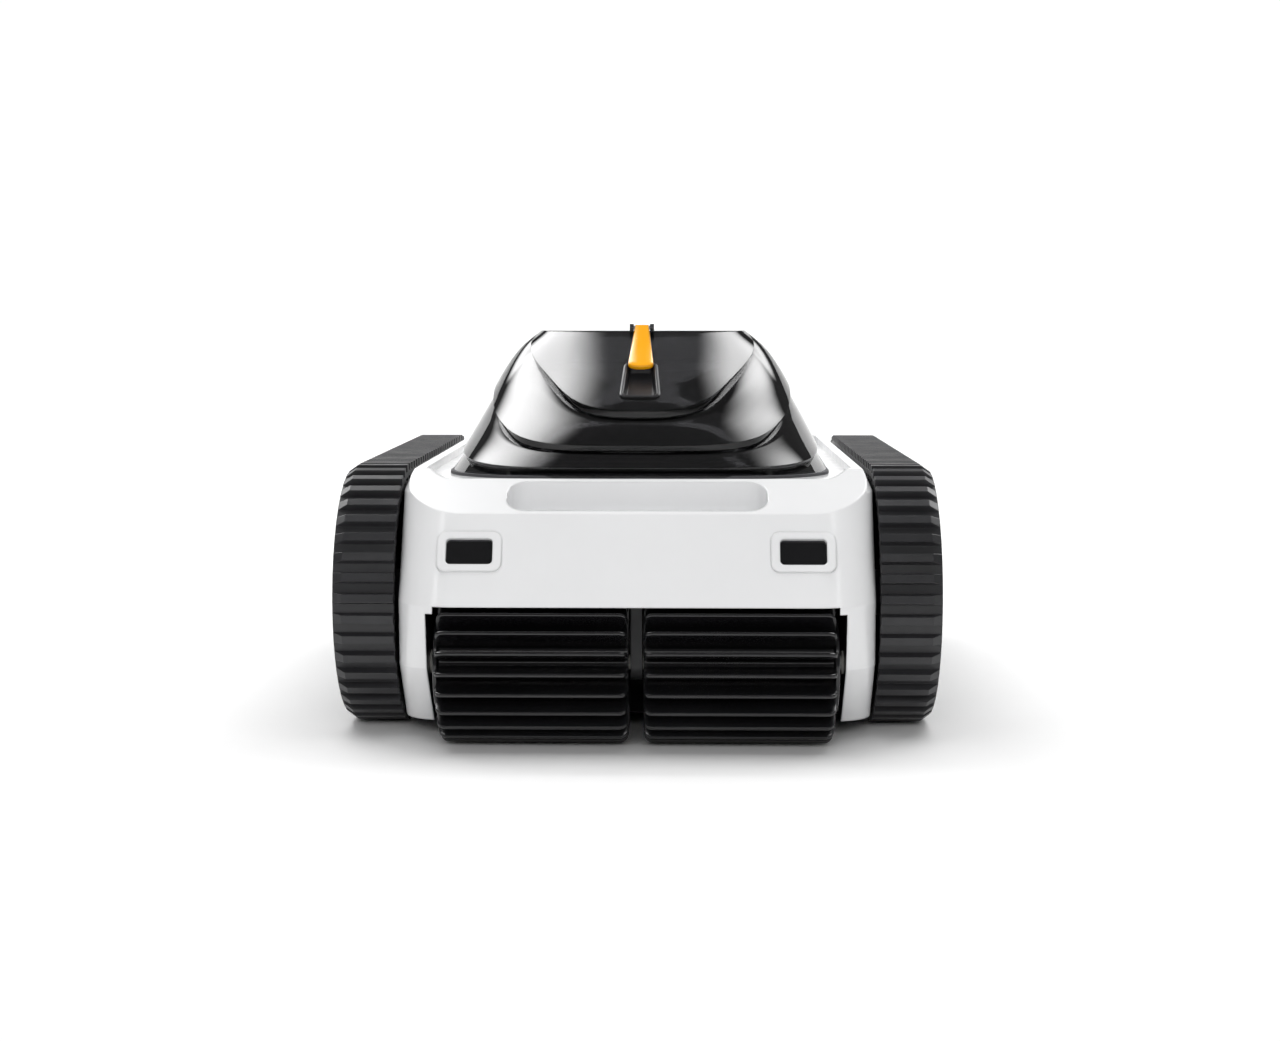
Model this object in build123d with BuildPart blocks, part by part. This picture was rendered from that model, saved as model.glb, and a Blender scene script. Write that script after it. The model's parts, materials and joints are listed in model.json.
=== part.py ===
from build123d import *
import math
import os

os.makedirs("parts", exist_ok=True)

# A cordless robotic pool cleaner. The front, with its two brush rollers, faces -Y and +Z is up.
# The origin is on the floor, under the middle of the overall length and width.
# "Left" is -X and "right" is +X, as seen by someone who looks at the front.

# ---------------------------------------------------------------- driving dimensions, mm
overall_width = 410.0
overall_length = 565.0

# Tracks: a wheel has wheel_teeth pockets, and each flat run is flat_pitches long.
wheel_teeth = 40
flat_pitches = 26
belt_inner_radius = 83.0
belt_thickness = 3.5
belt_width = 41.5
lug_height = 4.9
lug_tip_width = 5.6
lug_root_width = 7.4
lug_end_slope = 7.0
tooth_height = 3.0
tooth_root_width = 4.6
tooth_tip_width = 3.4
wheel_inset = 2.0
hub_radius = 16.0
web_half = 3.0
web_hole_radius = 15.0
axle_radius = 6.0
bush_radius = 10.0
bush_flange = 2.0
cover_thickness = 3.5
cover_inset = 2.5
pod_hollow = 4.0
screw_radius = 4.0
screw_head = 1.5
screw_inset = 14.0
rim_thickness = 5.0

# Casing
wall = 3.0
track_gap = 2.5
casing_bottom = 12.0
deck_level = 176.0
shoulder_level = 182.0
deck_half_width = 148.0
deck_corner = 34.0
crease_level = 156.0
lip_level = 97.0
lip_notch = 5.0
nose_setback = 14.5
crease_setback = 42.5
slope_run = 44.0
tail_setback = 27.5
pan_height = 20.0
# Each height of the casing: level, side inset, setback from the nose, setback from the tail, corner radius.
casing_profile = [
    (casing_bottom, 0.0, 50.0, 29.0, 26.0),
    (54.0, 0.0, 11.0, 8.0, 32.0),
    (lip_level, 0.0, 0.0, 0.0, 42.0),
    (crease_level, 0.0, 28.0, 5.0, 46.0),
    (168.0, 0.0, 34.0, 11.0, 46.0),
    (shoulder_level, 6.0, 41.0, 19.0, 42.0),
]

deck_tail_gap = 23.0

# Carrying handle and sensors
handle_half_width = 88.0
handle_rim = 0.5
handle_grip = 4.0
handle_corner = 14.0
handle_roof_gap = 7.0
sensor_level = 132.0
sensor_x = 110.5
sensor_width = 43.0
sensor_height = 28.0
sensor_radius = 6.0
window_width = 31.0
window_height = 18.0
window_sink = 2.5
bezel_proud = 1.0
bezel_depth = 8.0

# Brush rollers and their housing
brush_radius = 54.5
brush_core_radius = 30.0
brush_fins = 24
fin_thickness = 3.0
fin_end_radius = 6.0
brush_half_gap = 5.0
brush_outer_x = 132.0
flange_radius = 34.0
flange_thickness = 3.0
brush_shaft_radius = 5.0
brush_bush_radius = 8.0
housing_gap = 3.0
housing_wall = 2.5
cheek_x = 139.0
cheek_depth = 72.0
bracket_half_width = 4.0
bracket_radius = 12.0

# Gears
pressure_angle = 25.0
tooth_thinning = 0.2
gear_x = 143.2
gear_width = 4.4
wheel_gear_teeth = 44
transfer_gear_teeth = 28
brush_gear_teeth = 18
pinion_teeth = 14
transfer_peg_radius = 4.0
motor_shaft_radius = 3.0

# Lid
lid_wall = 3.0
lid_half_width = 136.0
lid_front_gap = 4.0
lid_length = 326.0
lid_corner = 60.0
ridge_level = 276.0
ridge_half_width = 79.0
ridge_length = 116.0
visor_slope = 30.5
ridge_corner = 12.0
ridge_setback = 60.0
# Each height between the lid's edge and its ridge: level, side inset, setback from the rear, corner radius.
lid_profile = [(213.0, 13.0, 4.0, 60.0), (247.0, 30.0, 20.0, 50.0)]
visor_inset = 5.0
gasket_height = 2.0
gasket_width = 6.0
hinge_pin_radius = 3.0
hinge_offset = 7.0
hinge_height = 6.0
knuckle_radius = 5.5
hinge_x = 75.0
knuckle_half_length = 15.0
ear_width = 6.0
tab_length = 57.0
tab_top_width = 10.3
tab_end_width = 18.6
tab_thickness = 4.0
tab_lift = 0.6
tab_pin_radius = 1.5
tab_barrel_radius = 2.5
finger_length = 44.0
finger_width = 26.0
finger_depth = 7.0
finger_wall = 2.0
finger_overlap = 9.0

# Filter basket and suction inlet
basket_half_width = 84.0
basket_length = 170.0
basket_front_gap = 110.0
basket_corner = 40.0
basket_floor = 40.0
basket_top = 241.0
basket_wall = 2.5
basket_flange = 15.0
mesh_wall = 1.0
bay_gap = 8.0
bay_corner = 46.0
slot_pitch = 13.7
slot_width = 10.2
front_slots = 6
side_slots = 7
# Each row of slots: the level of its middle, and its height.
basket_rows = [(64.0, 40.0), (113.0, 44.0), (164.0, 44.0), (216.5, 35.0)]
handle_bar = 8.0
handle_rise = 11.0
handle_leg = 12.0
inlet_half_width = 55.0
inlet_depth = 34.0
inlet_y = -58.0
inlet_wall = 2.5
inlet_top = 85.0
flap_thickness = 2.5
flap_pin_radius = 1.5
flap_barrel_radius = 3.0
flap_ear = 4.0

# Motor box, battery, pump
saddle_half = 15.0
saddle_inset = 6.0
battery_corner = 6.0
chip_length = 12.0
chip_width = 9.0
chip_height = 3.0
chip_pitch_x = 30.0
chip_pitch_y = 18.0
blade_count = 5
blade_thickness = 3.0
blade_lean = 18.0
impeller_hub = 9.0
impeller_lift = 4.0
duct_window = 12.0
grille_hub = 10.0
grille_ring = 24.0
grille_spokes = 8
box_half_width = 128.0
box_front_y = 100.0
box_rear_y = 216.0
box_corner = 12.0
box_top = 149.0
seal_height = 1.0
box_cover = 3.0
drive_motor_radius = 18.0
drive_motor_length = 60.0
motor_end_gap = 3.0
battery_half_width = 52.0
battery_length = 55.0
battery_height = 70.0
board_gap = 3.0
board_thickness = 1.6
pump_y = 186.0
pump_motor_radius = 22.0
pump_motor_length = 70.0
impeller_radius = 35.0
impeller_height = 13.0
duct_wall = 3.0
grille_height = 6.0

# Controls on the rear deck
button_flange = 2.0
port_flange = 2.0
cap_hinge_reach = 4.5
cap_barrel_radius = 2.0
cap_ear_near = 5.0
cap_ear_far = 8.0
control_x = 86.0
control_y = 192.0
button_radius = 9.0
button_proud = 2.0
button_travel = 1.5
port_radius = 13.0
port_bore = 7.0
cap_pin_radius = 1.0
light_half_length = 26.0
light_width = 4.0

# Clearances
running_fit = 0.05
slip_gap = 0.3
part_gap = 1.0

# ---------------------------------------------------------------- derived positions
belt_pitch = 2 * math.pi * belt_inner_radius / wheel_teeth
belt_base_radius = belt_inner_radius + belt_thickness
track_radius = belt_base_radius + lug_height
wheelbase = flat_pitches * belt_pitch
axle_z = track_radius
rear_axle_y = overall_length / 2 - track_radius
front_axle_y = rear_axle_y - wheelbase
mid_axle_y = (front_axle_y + rear_axle_y) / 2
brush_y = brush_radius - overall_length / 2
brush_z = brush_radius
belt_outer_x = overall_width / 2
belt_inner_x = belt_outer_x - belt_width
casing_half_width = belt_inner_x - track_gap
cover_x = belt_outer_x - cover_inset - cover_thickness
wheel_inner_x = belt_inner_x + wheel_inset
wheel_outer_x = cover_x - part_gap
SIDES = {"left": -1, "right": 1}

nose_y = nose_setback - overall_length / 2
crease_y = crease_setback - overall_length / 2
deck_front_y = crease_y + slope_run
tail_y = overall_length / 2 - tail_setback
deck_rise = (deck_level - crease_level) / slope_run
front_lean = (crease_y - nose_y) / (crease_level - lip_level)

# The casing in plan at each height: level, half width, front y, rear y, corner radius.
casing_levels = [
    (level, casing_half_width - inset, nose_y + front, tail_y - rear, corner)
    for level, inset, front, rear, corner in casing_profile
]

lid_front_y = deck_front_y
lid_rear_y = lid_front_y + lid_length
lid_level = deck_level + gasket_height
ridge_rear_y = lid_rear_y - ridge_setback
ridge_front_y = ridge_rear_y - ridge_length
hinge_y = lid_rear_y + hinge_offset
hinge_z = deck_level + hinge_height
basket_front_y = lid_front_y + basket_front_gap
basket_rear_y = basket_front_y + basket_length
basket_y = (basket_front_y + basket_rear_y) / 2
flap_pin_y = inlet_y + inlet_depth / 2 + inlet_wall
flap_pin_z = inlet_top + flap_barrel_radius
pan_top = casing_bottom + wall
box_floor = pan_top + wall
cover_level = box_top + seal_height
duct_level = cover_level + box_cover
duct_radius = impeller_radius + part_gap
drive_motor_end = box_half_width - wall - motor_end_gap
housing_radius = brush_radius + housing_gap
housing_outer = housing_radius + housing_wall
handle_front_y = crease_y + handle_grip
handle_floor = brush_z + housing_outer + handle_roof_gap


# ---------------------------------------------------------------- shared shapes
def block(low, high, mode=Mode.ADD):
    """A box between two corners, in the part being built."""
    middle = [(a + b) / 2 for a, b in zip(low, high)]
    with Locations(tuple(middle)):
        Box(*[b - a for a, b in zip(low, high)], mode=mode)


def rod(side, x_near, x_far, y, z, radius, mode=Mode.ADD):
    """A cylinder along X on one side, between two distances from the middle."""
    with Locations(Location((side * (x_near + x_far) / 2, y, z), (0, 90, 0))):
        Cylinder(radius, x_far - x_near, mode=mode)


def post(x, y, low, high, radius, mode=Mode.ADD):
    """An upright cylinder between two heights."""
    with Locations((x, y, (low + high) / 2)):
        Cylinder(radius, high - low, mode=mode)


def plan_rectangle(level, half_width, front, rear, radius):
    """A rounded rectangle in plan at one height."""
    with BuildSketch(Plane.XY.offset(level)) as section:
        with Locations((0, (front + rear) / 2)):
            RectangleRounded(2 * half_width, rear - front, radius)
    return section.sketch


def plan_prism(low, high, half_width, front, rear, radius):
    """An upright prism on a rounded rectangle."""
    return extrude(plan_rectangle(low, half_width, front, rear, radius), high - low, mode=Mode.PRIVATE)


def finish_piece(builder, name):
    """Label a piece and write it to its own file."""
    builder.part.label = name
    export_step(builder.part, f"parts/{name}.step")


def deck_cutter(sink):
    """The space above the sloping front deck and the flat deck, sunk by a depth."""
    front = crease_y - slope_run
    rear = crease_y + 2 * slope_run
    with BuildPart() as cutter:
        with BuildSketch(Plane.YZ.offset(-overall_width)):
            with BuildLine():
                Polyline(
                    (front, crease_level + (front - crease_y) * deck_rise - sink),
                    (rear, crease_level + (rear - crease_y) * deck_rise - sink),
                    (rear, 2 * shoulder_level),
                    (front, 2 * shoulder_level),
                    close=True,
                )
            make_face()
        extrude(amount=2 * overall_width)
        deck_prism = plan_prism(
            deck_level - sink,
            2 * shoulder_level,
            deck_half_width + sink,
            deck_front_y - handle_grip - sink,
            tail_y - deck_tail_gap + sink,
            deck_corner + sink,
        )
        add(deck_prism)
    return cutter.part


def casing_form(inset):
    """The casing's solid form, drawn in from its outside by an inset."""
    sections = []
    for level, half_width, front, rear, radius in casing_levels:
        if level == shoulder_level:
            level -= inset
        if level == casing_bottom and inset:
            level -= part_gap
        sections.append(
            plan_rectangle(level, half_width - inset, front + inset, rear - inset, radius - inset)
        )
    with BuildPart() as form:
        loft(sections, ruled=True)
        add(deck_cutter(inset), mode=Mode.SUBTRACT)
    return form.part


casing_outside = casing_form(0)
casing_inside = casing_form(wall)
casing_fit = casing_form(wall + slip_gap)


def front_face_y(level):
    """The y of the casing's flat front face between the lip and the crease."""
    return nose_y + (level - lip_level) * front_lean


def sensor_plane(side, depth=0.0):
    """A plane on the casing's front face at a sensor's centre, moved inward by a depth."""
    slope = math.atan(front_lean)
    return Plane(
        origin=(side * sensor_x, front_face_y(sensor_level), sensor_level),
        x_dir=(1, 0, 0),
        z_dir=(0, -math.cos(slope), math.sin(slope)),
    ).offset(-depth)


# ---------------------------------------------------------------- upper shell
handle_rear = deck_front_y - handle_grip + handle_rim
with BuildPart() as upper_shell:
    add(casing_outside)
    add(casing_inside, mode=Mode.SUBTRACT)
    # the cup of the carrying handle, cut to the casing's outside
    add(
        plan_prism(
            handle_floor - wall,
            shoulder_level,
            handle_half_width + wall,
            handle_front_y - wall,
            handle_rear + wall,
            handle_corner + wall,
        )
    )
    add(casing_outside, mode=Mode.INTERSECT)
    add(
        plan_prism(
            handle_floor, shoulder_level, handle_half_width, handle_front_y, handle_rear, handle_corner
        ),
        mode=Mode.SUBTRACT,
    )
    # the bay that the filter basket drops into
    add(
        plan_prism(
            deck_level - 2 * wall,
            shoulder_level,
            basket_half_width + bay_gap,
            basket_front_y - bay_gap,
            basket_rear_y + bay_gap,
            bay_corner,
        ),
        mode=Mode.SUBTRACT,
    )
    # the opening for the rollers, with a small step at each upper corner
    front_cut = brush_y + brush_core_radius
    notch_x = cheek_x - lip_notch
    block((-cheek_x, nose_y - wall, 0), (cheek_x, front_cut, lip_level - lip_notch), Mode.SUBTRACT)
    block((-notch_x, nose_y - wall, 0), (notch_x, front_cut, lip_level), Mode.SUBTRACT)
    # the sensors' holes, and the bush holes of the four axles
    for side in SIDES.values():
        with BuildSketch(sensor_plane(side, bezel_depth)):
            RectangleRounded(sensor_width, sensor_height, sensor_radius)
        extrude(amount=2 * bezel_depth, mode=Mode.SUBTRACT)
        for axle_y in (front_axle_y, rear_axle_y):
            rod(side, casing_half_width - 2 * wall, belt_inner_x, axle_y, axle_z, bush_radius, Mode.SUBTRACT)
    # the pump's outlet, the button, the charging port and the status light
    post(0, pump_y, deck_level - 2 * wall, shoulder_level, duct_radius, Mode.SUBTRACT)
    button_hole = button_radius + 2 * running_fit
    post(-control_x, control_y, deck_level - 2 * wall, shoulder_level, button_hole, Mode.SUBTRACT)
    post(control_x, control_y, deck_level - 2 * wall, shoulder_level, port_radius, Mode.SUBTRACT)
    light_y = pump_y - duct_radius - 2 * light_width
    block(
        (-light_half_length, light_y - light_width / 2, deck_level - 2 * wall),
        (light_half_length, light_y + light_width / 2, shoulder_level),
        Mode.SUBTRACT,
    )
    # the ears that hold the lid's hinge pins
    ear_near = hinge_x - knuckle_half_length - part_gap - ear_width
    ear_far = hinge_x + knuckle_half_length + part_gap
    for side in SIDES.values():
        for ear_x in (ear_near, ear_far):
            rod(side, ear_x, ear_x + ear_width, hinge_y, hinge_z, knuckle_radius)
            middle = side * (ear_x + ear_width / 2)
            block(
                (middle - ear_width / 2, hinge_y - knuckle_radius, deck_level - part_gap),
                (middle + ear_width / 2, hinge_y + knuckle_radius, hinge_z),
            )
        rod(side, ear_near, ear_far + ear_width, hinge_y, hinge_z, hinge_pin_radius, Mode.SUBTRACT)
finish_piece(upper_shell, "upper_shell")

# ---------------------------------------------------------------- chassis pan
bay_edge_y = brush_y + housing_outer
with BuildPart() as pan_hollow:
    add(casing_form(2 * wall + slip_gap))
    block((-overall_width, -overall_length, -wall), (overall_width, overall_length, pan_top), Mode.SUBTRACT)
with BuildPart() as chassis_base:
    add(casing_fit)
    add(pan_hollow.part, mode=Mode.SUBTRACT)
    block(
        (-overall_width, -overall_length, pan_top + pan_height),
        (overall_width, overall_length, 2 * shoulder_level),
        Mode.SUBTRACT,
    )
    block(
        (-overall_width, -overall_length, -wall),
        (overall_width, overall_length, casing_bottom),
        Mode.SUBTRACT,
    )
    bay_half_width = cheek_x + wall
    block(
        (-bay_half_width, bay_edge_y, casing_bottom),
        (bay_half_width, bay_edge_y + wall, pan_top + pan_height),
    )
    block((-bay_half_width, -overall_length, 0), (bay_half_width, bay_edge_y, 2 * pan_height), Mode.SUBTRACT)
    block(
        (-inlet_half_width, inlet_y - inlet_depth / 2, 0),
        (inlet_half_width, inlet_y + inlet_depth / 2, 2 * pan_top),
        Mode.SUBTRACT,
    )
finish_piece(chassis_base, "chassis_base")

# ---------------------------------------------------------------- brush housing and centre bracket
with BuildPart() as brush_housing:
    # the arched roof over the rollers, open at the front, and its sole behind them
    with BuildSketch(Plane.YZ.offset(-cheek_x)):
        with Locations((brush_y, brush_z)):
            Circle(housing_outer)
            Circle(housing_radius, mode=Mode.SUBTRACT)
            with Locations((-housing_outer, -housing_outer / 2)):
                Rectangle(2 * housing_outer, housing_outer, mode=Mode.SUBTRACT)
        with Locations((brush_y, casing_bottom / 2 - wall)):
            Rectangle(4 * housing_outer, casing_bottom + 2 * wall, mode=Mode.SUBTRACT)
        with Locations((brush_y + housing_outer, casing_bottom + wall / 2)):
            Rectangle(2 * housing_wall + 4 * wall, wall, align=(Align.MAX, Align.CENTER))
    extrude(amount=2 * cheek_x)
    # the cheeks that close the casing's legs
    for side in SIDES.values():
        cheek_near, cheek_far = sorted((side * cheek_x, side * (cheek_x + wall)))
        block((cheek_near, nose_y, casing_bottom), (cheek_far, nose_y + cheek_depth, deck_level))
    add(casing_fit, mode=Mode.INTERSECT)
    # the holes for the roller shafts' bushes, and a peg for each transfer gear
    gear_module = 2 * math.hypot(brush_y - front_axle_y, brush_z - axle_z) / (
        wheel_gear_teeth + 2 * transfer_gear_teeth + brush_gear_teeth
    )
    train_angle = math.atan2(brush_z - axle_z, brush_y - front_axle_y)
    transfer_reach = gear_module * (wheel_gear_teeth + transfer_gear_teeth) / 2
    transfer_y = front_axle_y + transfer_reach * math.cos(train_angle)
    transfer_z = axle_z + transfer_reach * math.sin(train_angle)
    for side in SIDES.values():
        rod(side, cheek_x - wall, cheek_x + 2 * wall, brush_y, brush_z, brush_bush_radius, Mode.SUBTRACT)
        rod(side, cheek_x, gear_x + gear_width + part_gap, transfer_y, transfer_z, transfer_peg_radius)
finish_piece(brush_housing, "brush_housing")

with BuildPart() as centre_bracket:
    with BuildSketch(Plane.YZ.offset(-bracket_half_width)):
        with Locations((brush_y, brush_z)):
            Circle(bracket_radius)
            with Locations((0, housing_radius / 2)):
                Rectangle(2 * bracket_radius, housing_radius)
            Circle(housing_radius, mode=Mode.INTERSECT)
            Circle(brush_shaft_radius + running_fit, mode=Mode.SUBTRACT)
    extrude(amount=2 * bracket_half_width)
finish_piece(centre_bracket, "centre_bracket")


# ---------------------------------------------------------------- gears
def gear_points(teeth, first_tooth, y, z):
    """The outline of an involute gear about its centre, with one tooth at a given angle."""
    pitch_radius = gear_module * teeth / 2
    base_radius = pitch_radius * math.cos(math.radians(pressure_angle))
    root_radius = pitch_radius - 1.25 * gear_module
    tip_radius = pitch_radius + gear_module

    def half_angle(radius):
        roll = math.acos(min(1.0, base_radius / radius))
        reference = math.radians(pressure_angle)
        involute_drop = math.tan(reference) - reference - math.tan(roll) + roll
        return math.pi / (2 * teeth) - tooth_thinning / (2 * pitch_radius) + involute_drop

    start = max(base_radius, root_radius)
    radii = [start + (tip_radius - start) * step / 3 for step in range(4)]
    if root_radius < start:
        radii.insert(0, root_radius)
    points = []
    for tooth in range(teeth):
        middle = first_tooth + 2 * math.pi * tooth / teeth
        for radius in radii:
            angle = middle - half_angle(max(radius, start))
            points.append((y + radius * math.cos(angle), z + radius * math.sin(angle)))
        for radius in reversed(radii):
            angle = middle + half_angle(max(radius, start))
            points.append((y + radius * math.cos(angle), z + radius * math.sin(angle)))
    return points


def meshing_tooth(line_angle, first_tooth, teeth, mate_teeth):
    """The angle of a tooth on the mate, so that the two gears mesh along the line of centres."""
    pitch = 2 * math.pi / teeth
    mate_pitch = 2 * math.pi / mate_teeth
    lead = ((line_angle - first_tooth) / pitch) % 1.0
    return line_angle + math.pi + (lead + 0.5) * mate_pitch


def gear_body(side, teeth, first_tooth, y, z, bore):
    """A gear in the casing's leg, in the part being built."""
    with BuildSketch(Plane.YZ.offset(side * gear_x)) as outline:
        with BuildLine():
            Polyline(*gear_points(teeth, first_tooth, y, z), close=True)
        make_face()
        if bore:
            with Locations((y, z)):
                Circle(bore, mode=Mode.SUBTRACT)
    extrude(outline.sketch, side * gear_width)


front_tooth = 0.0
transfer_tooth = meshing_tooth(train_angle, front_tooth, wheel_gear_teeth, transfer_gear_teeth)
brush_tooth = meshing_tooth(train_angle, transfer_tooth, transfer_gear_teeth, brush_gear_teeth)
pinion_tooth = meshing_tooth(math.pi, front_tooth, wheel_gear_teeth, pinion_teeth)
pinion_y = rear_axle_y - gear_module * (wheel_gear_teeth + pinion_teeth) / 2


# ---------------------------------------------------------------- tracks
def belt_frame(step):
    """The pitch line's point and outward direction, a number of pitches from the rear wheel's foot."""
    arc_pitches = wheel_teeth / 2
    turn = math.pi / arc_pitches
    if step < flat_pitches:
        return rear_axle_y - step * belt_pitch, axle_z - belt_inner_radius, -math.pi / 2
    step -= flat_pitches
    if step < arc_pitches:
        angle = -math.pi / 2 - step * turn
        centre_y = front_axle_y
    elif step < arc_pitches + flat_pitches:
        step -= arc_pitches
        return front_axle_y + step * belt_pitch, axle_z + belt_inner_radius, math.pi / 2
    else:
        angle = math.pi / 2 - (step - arc_pitches - flat_pitches) * turn
        centre_y = rear_axle_y
    reach = belt_inner_radius
    return centre_y + reach * math.cos(angle), axle_z + reach * math.sin(angle), angle


def belt_outline(profile):
    """A closed outline that repeats a profile of (along, out) points at the middle of each pitch."""
    points = []
    for pitch in range(2 * flat_pitches + wheel_teeth):
        y, z, angle = belt_frame(pitch + 0.5)
        out_y, out_z = math.cos(angle), math.sin(angle)
        for along, out in profile:
            points.append((y + out * out_y + along * out_z, z + out * out_z - along * out_y))
    return points


lug_profile = [
    (-lug_root_width / 2, belt_thickness),
    (-lug_tip_width / 2, belt_thickness + lug_height),
    (lug_tip_width / 2, belt_thickness + lug_height),
    (lug_root_width / 2, belt_thickness),
]
tooth_profile = [
    (-tooth_root_width / 2, 0.0),
    (-tooth_tip_width / 2, -tooth_height),
    (tooth_tip_width / 2, -tooth_height),
    (tooth_root_width / 2, 0.0),
]


def loop_sketch(x, radius):
    """The outline of a loop round both wheels, in a plane across X."""
    with BuildSketch(Plane.YZ.offset(x)) as loop:
        with Locations((mid_axle_y, axle_z)):
            SlotCenterToCenter(wheelbase, 2 * radius)
    return loop.sketch


slope_x = belt_outer_x - lug_end_slope


def track_envelope(side):
    """The track's outside, where the lugs slope down to the belt at their outer ends."""
    with BuildPart() as envelope:
        start_x = side * (belt_inner_x - part_gap)
        extrude(loop_sketch(start_x, track_radius + slip_gap), side * (slope_x - belt_inner_x + part_gap))
        ends = [
            loop_sketch(side * slope_x, track_radius + slip_gap),
            loop_sketch(side * belt_outer_x, belt_base_radius + slip_gap),
        ]
        loft(ends, ruled=True)
    return envelope.part


for name, side in SIDES.items():
    with BuildPart() as track:
        with BuildSketch(Plane.YZ.offset(side * belt_inner_x)):
            with BuildLine():
                Polyline(*belt_outline(lug_profile), close=True)
            make_face()
            with BuildLine():
                Polyline(*belt_outline(tooth_profile), close=True)
            make_face(mode=Mode.SUBTRACT)
        extrude(amount=side * belt_width)
        add(track_envelope(side), mode=Mode.INTERSECT)
    finish_piece(track, f"track_{name}")

# ---------------------------------------------------------------- wheels, gears and their bushes
wheel_radius = belt_inner_radius - slip_gap
pocket_depth = tooth_height + 0.5
pocket_root = tooth_root_width / 2 + 0.5
pocket_tip = tooth_tip_width / 2 + 0.5


def wheel_points(y, z):
    """The outline of a track wheel about its centre, with a pocket for each tooth of the belt."""
    points = []
    turn = 2 * math.pi / wheel_teeth
    for pocket in range(wheel_teeth):
        angle = (pocket + 0.5) * turn
        for out, along in (
            (wheel_radius, -pocket_root),
            (wheel_radius - pocket_depth, -pocket_tip),
            (wheel_radius - pocket_depth, pocket_tip),
            (wheel_radius, pocket_root),
        ):
            points.append((
                y + out * math.cos(angle) - along * math.sin(angle),
                z + out * math.sin(angle) + along * math.cos(angle),
            ))
    return points


rim_inner_radius = wheel_radius - pocket_depth - rim_thickness
web_x = (wheel_inner_x + wheel_outer_x) / 2
wheel_names = {"idler": front_axle_y, "drive": rear_axle_y}
for name, side in SIDES.items():
    for kind, axle_y in wheel_names.items():
        with BuildPart() as wheel:
            with BuildSketch(Plane.YZ.offset(side * wheel_inner_x)):
                with BuildLine():
                    Polyline(*wheel_points(axle_y, axle_z), close=True)
                make_face()
            extrude(amount=side * (wheel_outer_x - wheel_inner_x))
            for near, far in ((wheel_inner_x, web_x - web_half), (web_x + web_half, wheel_outer_x)):
                with BuildSketch(Plane.YZ.offset(side * near)):
                    with Locations((axle_y, axle_z)):
                        Circle(rim_inner_radius)
                        Circle(hub_radius, mode=Mode.SUBTRACT)
                extrude(amount=side * (far - near), mode=Mode.SUBTRACT)
            with BuildSketch(Plane.YZ.offset(side * wheel_inner_x)):
                with Locations((axle_y, axle_z)):
                    Circle(axle_radius)
                    with PolarLocations((rim_inner_radius + hub_radius) / 2, 6):
                        Circle(web_hole_radius)
            extrude(amount=side * (wheel_outer_x - wheel_inner_x), mode=Mode.SUBTRACT)
        finish_piece(wheel, f"{kind}_wheel_{name}")

        with BuildPart() as axle_gear:
            gear_body(side, wheel_gear_teeth, front_tooth, axle_y, axle_z, 0)
            rod(side, gear_x, wheel_outer_x, axle_y, axle_z, axle_radius)
        finish_piece(axle_gear, f"{kind}_axle_gear_{name}")

    with BuildPart() as transfer_gear:
        peg_hole = transfer_peg_radius + running_fit
        gear_body(side, transfer_gear_teeth, transfer_tooth, transfer_y, transfer_z, peg_hole)
    finish_piece(transfer_gear, f"transfer_gear_{name}")

    with BuildPart() as motor_pinion:
        gear_body(side, pinion_teeth, pinion_tooth, pinion_y, axle_z, 0)
        rod(side, drive_motor_end, gear_x, pinion_y, axle_z, motor_shaft_radius)
    finish_piece(motor_pinion, f"motor_pinion_{name}")

with BuildPart() as axle_bushes:
    for side in SIDES.values():
        inner_x = casing_half_width - wall
        for axle_y in wheel_names.values():
            rod(side, inner_x, belt_inner_x, axle_y, axle_z, bush_radius)
            rod(side, inner_x - wall, inner_x, axle_y, axle_z, bush_radius + bush_flange)
            axle_hole = axle_radius + running_fit
            rod(side, inner_x - 2 * wall, belt_outer_x, axle_y, axle_z, axle_hole, Mode.SUBTRACT)
        rod(side, cheek_x - part_gap, cheek_x + wall, brush_y, brush_z, brush_bush_radius)
        rod(side, cheek_x - wall, gear_x, brush_y, brush_z, brush_shaft_radius + running_fit, Mode.SUBTRACT)
finish_piece(axle_bushes, "axle_bushes")

# ---------------------------------------------------------------- side pods and covers
pod_half_height = belt_inner_radius - tooth_height - slip_gap
cover_radius = belt_inner_radius - tooth_height - 1.5
screw_reach = pod_half_height - screw_inset
for name, side in SIDES.items():
    with BuildPart() as side_pod:
        for near, far, inset, mode in (
            (casing_half_width, cover_x, 0.0, Mode.ADD),
            (casing_half_width + pod_hollow, cover_x, pod_hollow, Mode.SUBTRACT),
        ):
            with BuildSketch(Plane.YZ.offset(side * near)):
                with Locations((mid_axle_y, axle_z)):
                    Rectangle(wheelbase, 2 * (pod_half_height - inset))
                with Locations((front_axle_y, axle_z), (rear_axle_y, axle_z)):
                    Circle(wheel_radius + 2 * part_gap + inset, mode=Mode.SUBTRACT)
            extrude(amount=side * (far - near), mode=mode)
        for screw_z in (axle_z - screw_reach, axle_z + screw_reach):
            for screw_y in (mid_axle_y - screw_reach / 2, mid_axle_y + screw_reach / 2):
                rod(side, casing_half_width, cover_x, screw_y, screw_z, 2 * screw_radius)
                rod(side, cover_x - 3 * wall, cover_x, screw_y, screw_z, screw_radius / 2, Mode.SUBTRACT)
    finish_piece(side_pod, f"side_pod_{name}")

    with BuildPart() as side_cover:
        extrude(loop_sketch(side * cover_x, cover_radius), side * cover_thickness)
        fillet(side_cover.edges().group_by(Axis.X)[-1 if side > 0 else 0], cover_thickness / 2)
        for screw_z in (axle_z - screw_reach, axle_z + screw_reach):
            for screw_y in (mid_axle_y - screw_reach / 2, mid_axle_y + screw_reach / 2):
                rod(side, cover_x, belt_outer_x, screw_y, screw_z, screw_radius / 2, Mode.SUBTRACT)
    finish_piece(side_cover, f"side_cover_{name}")

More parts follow.
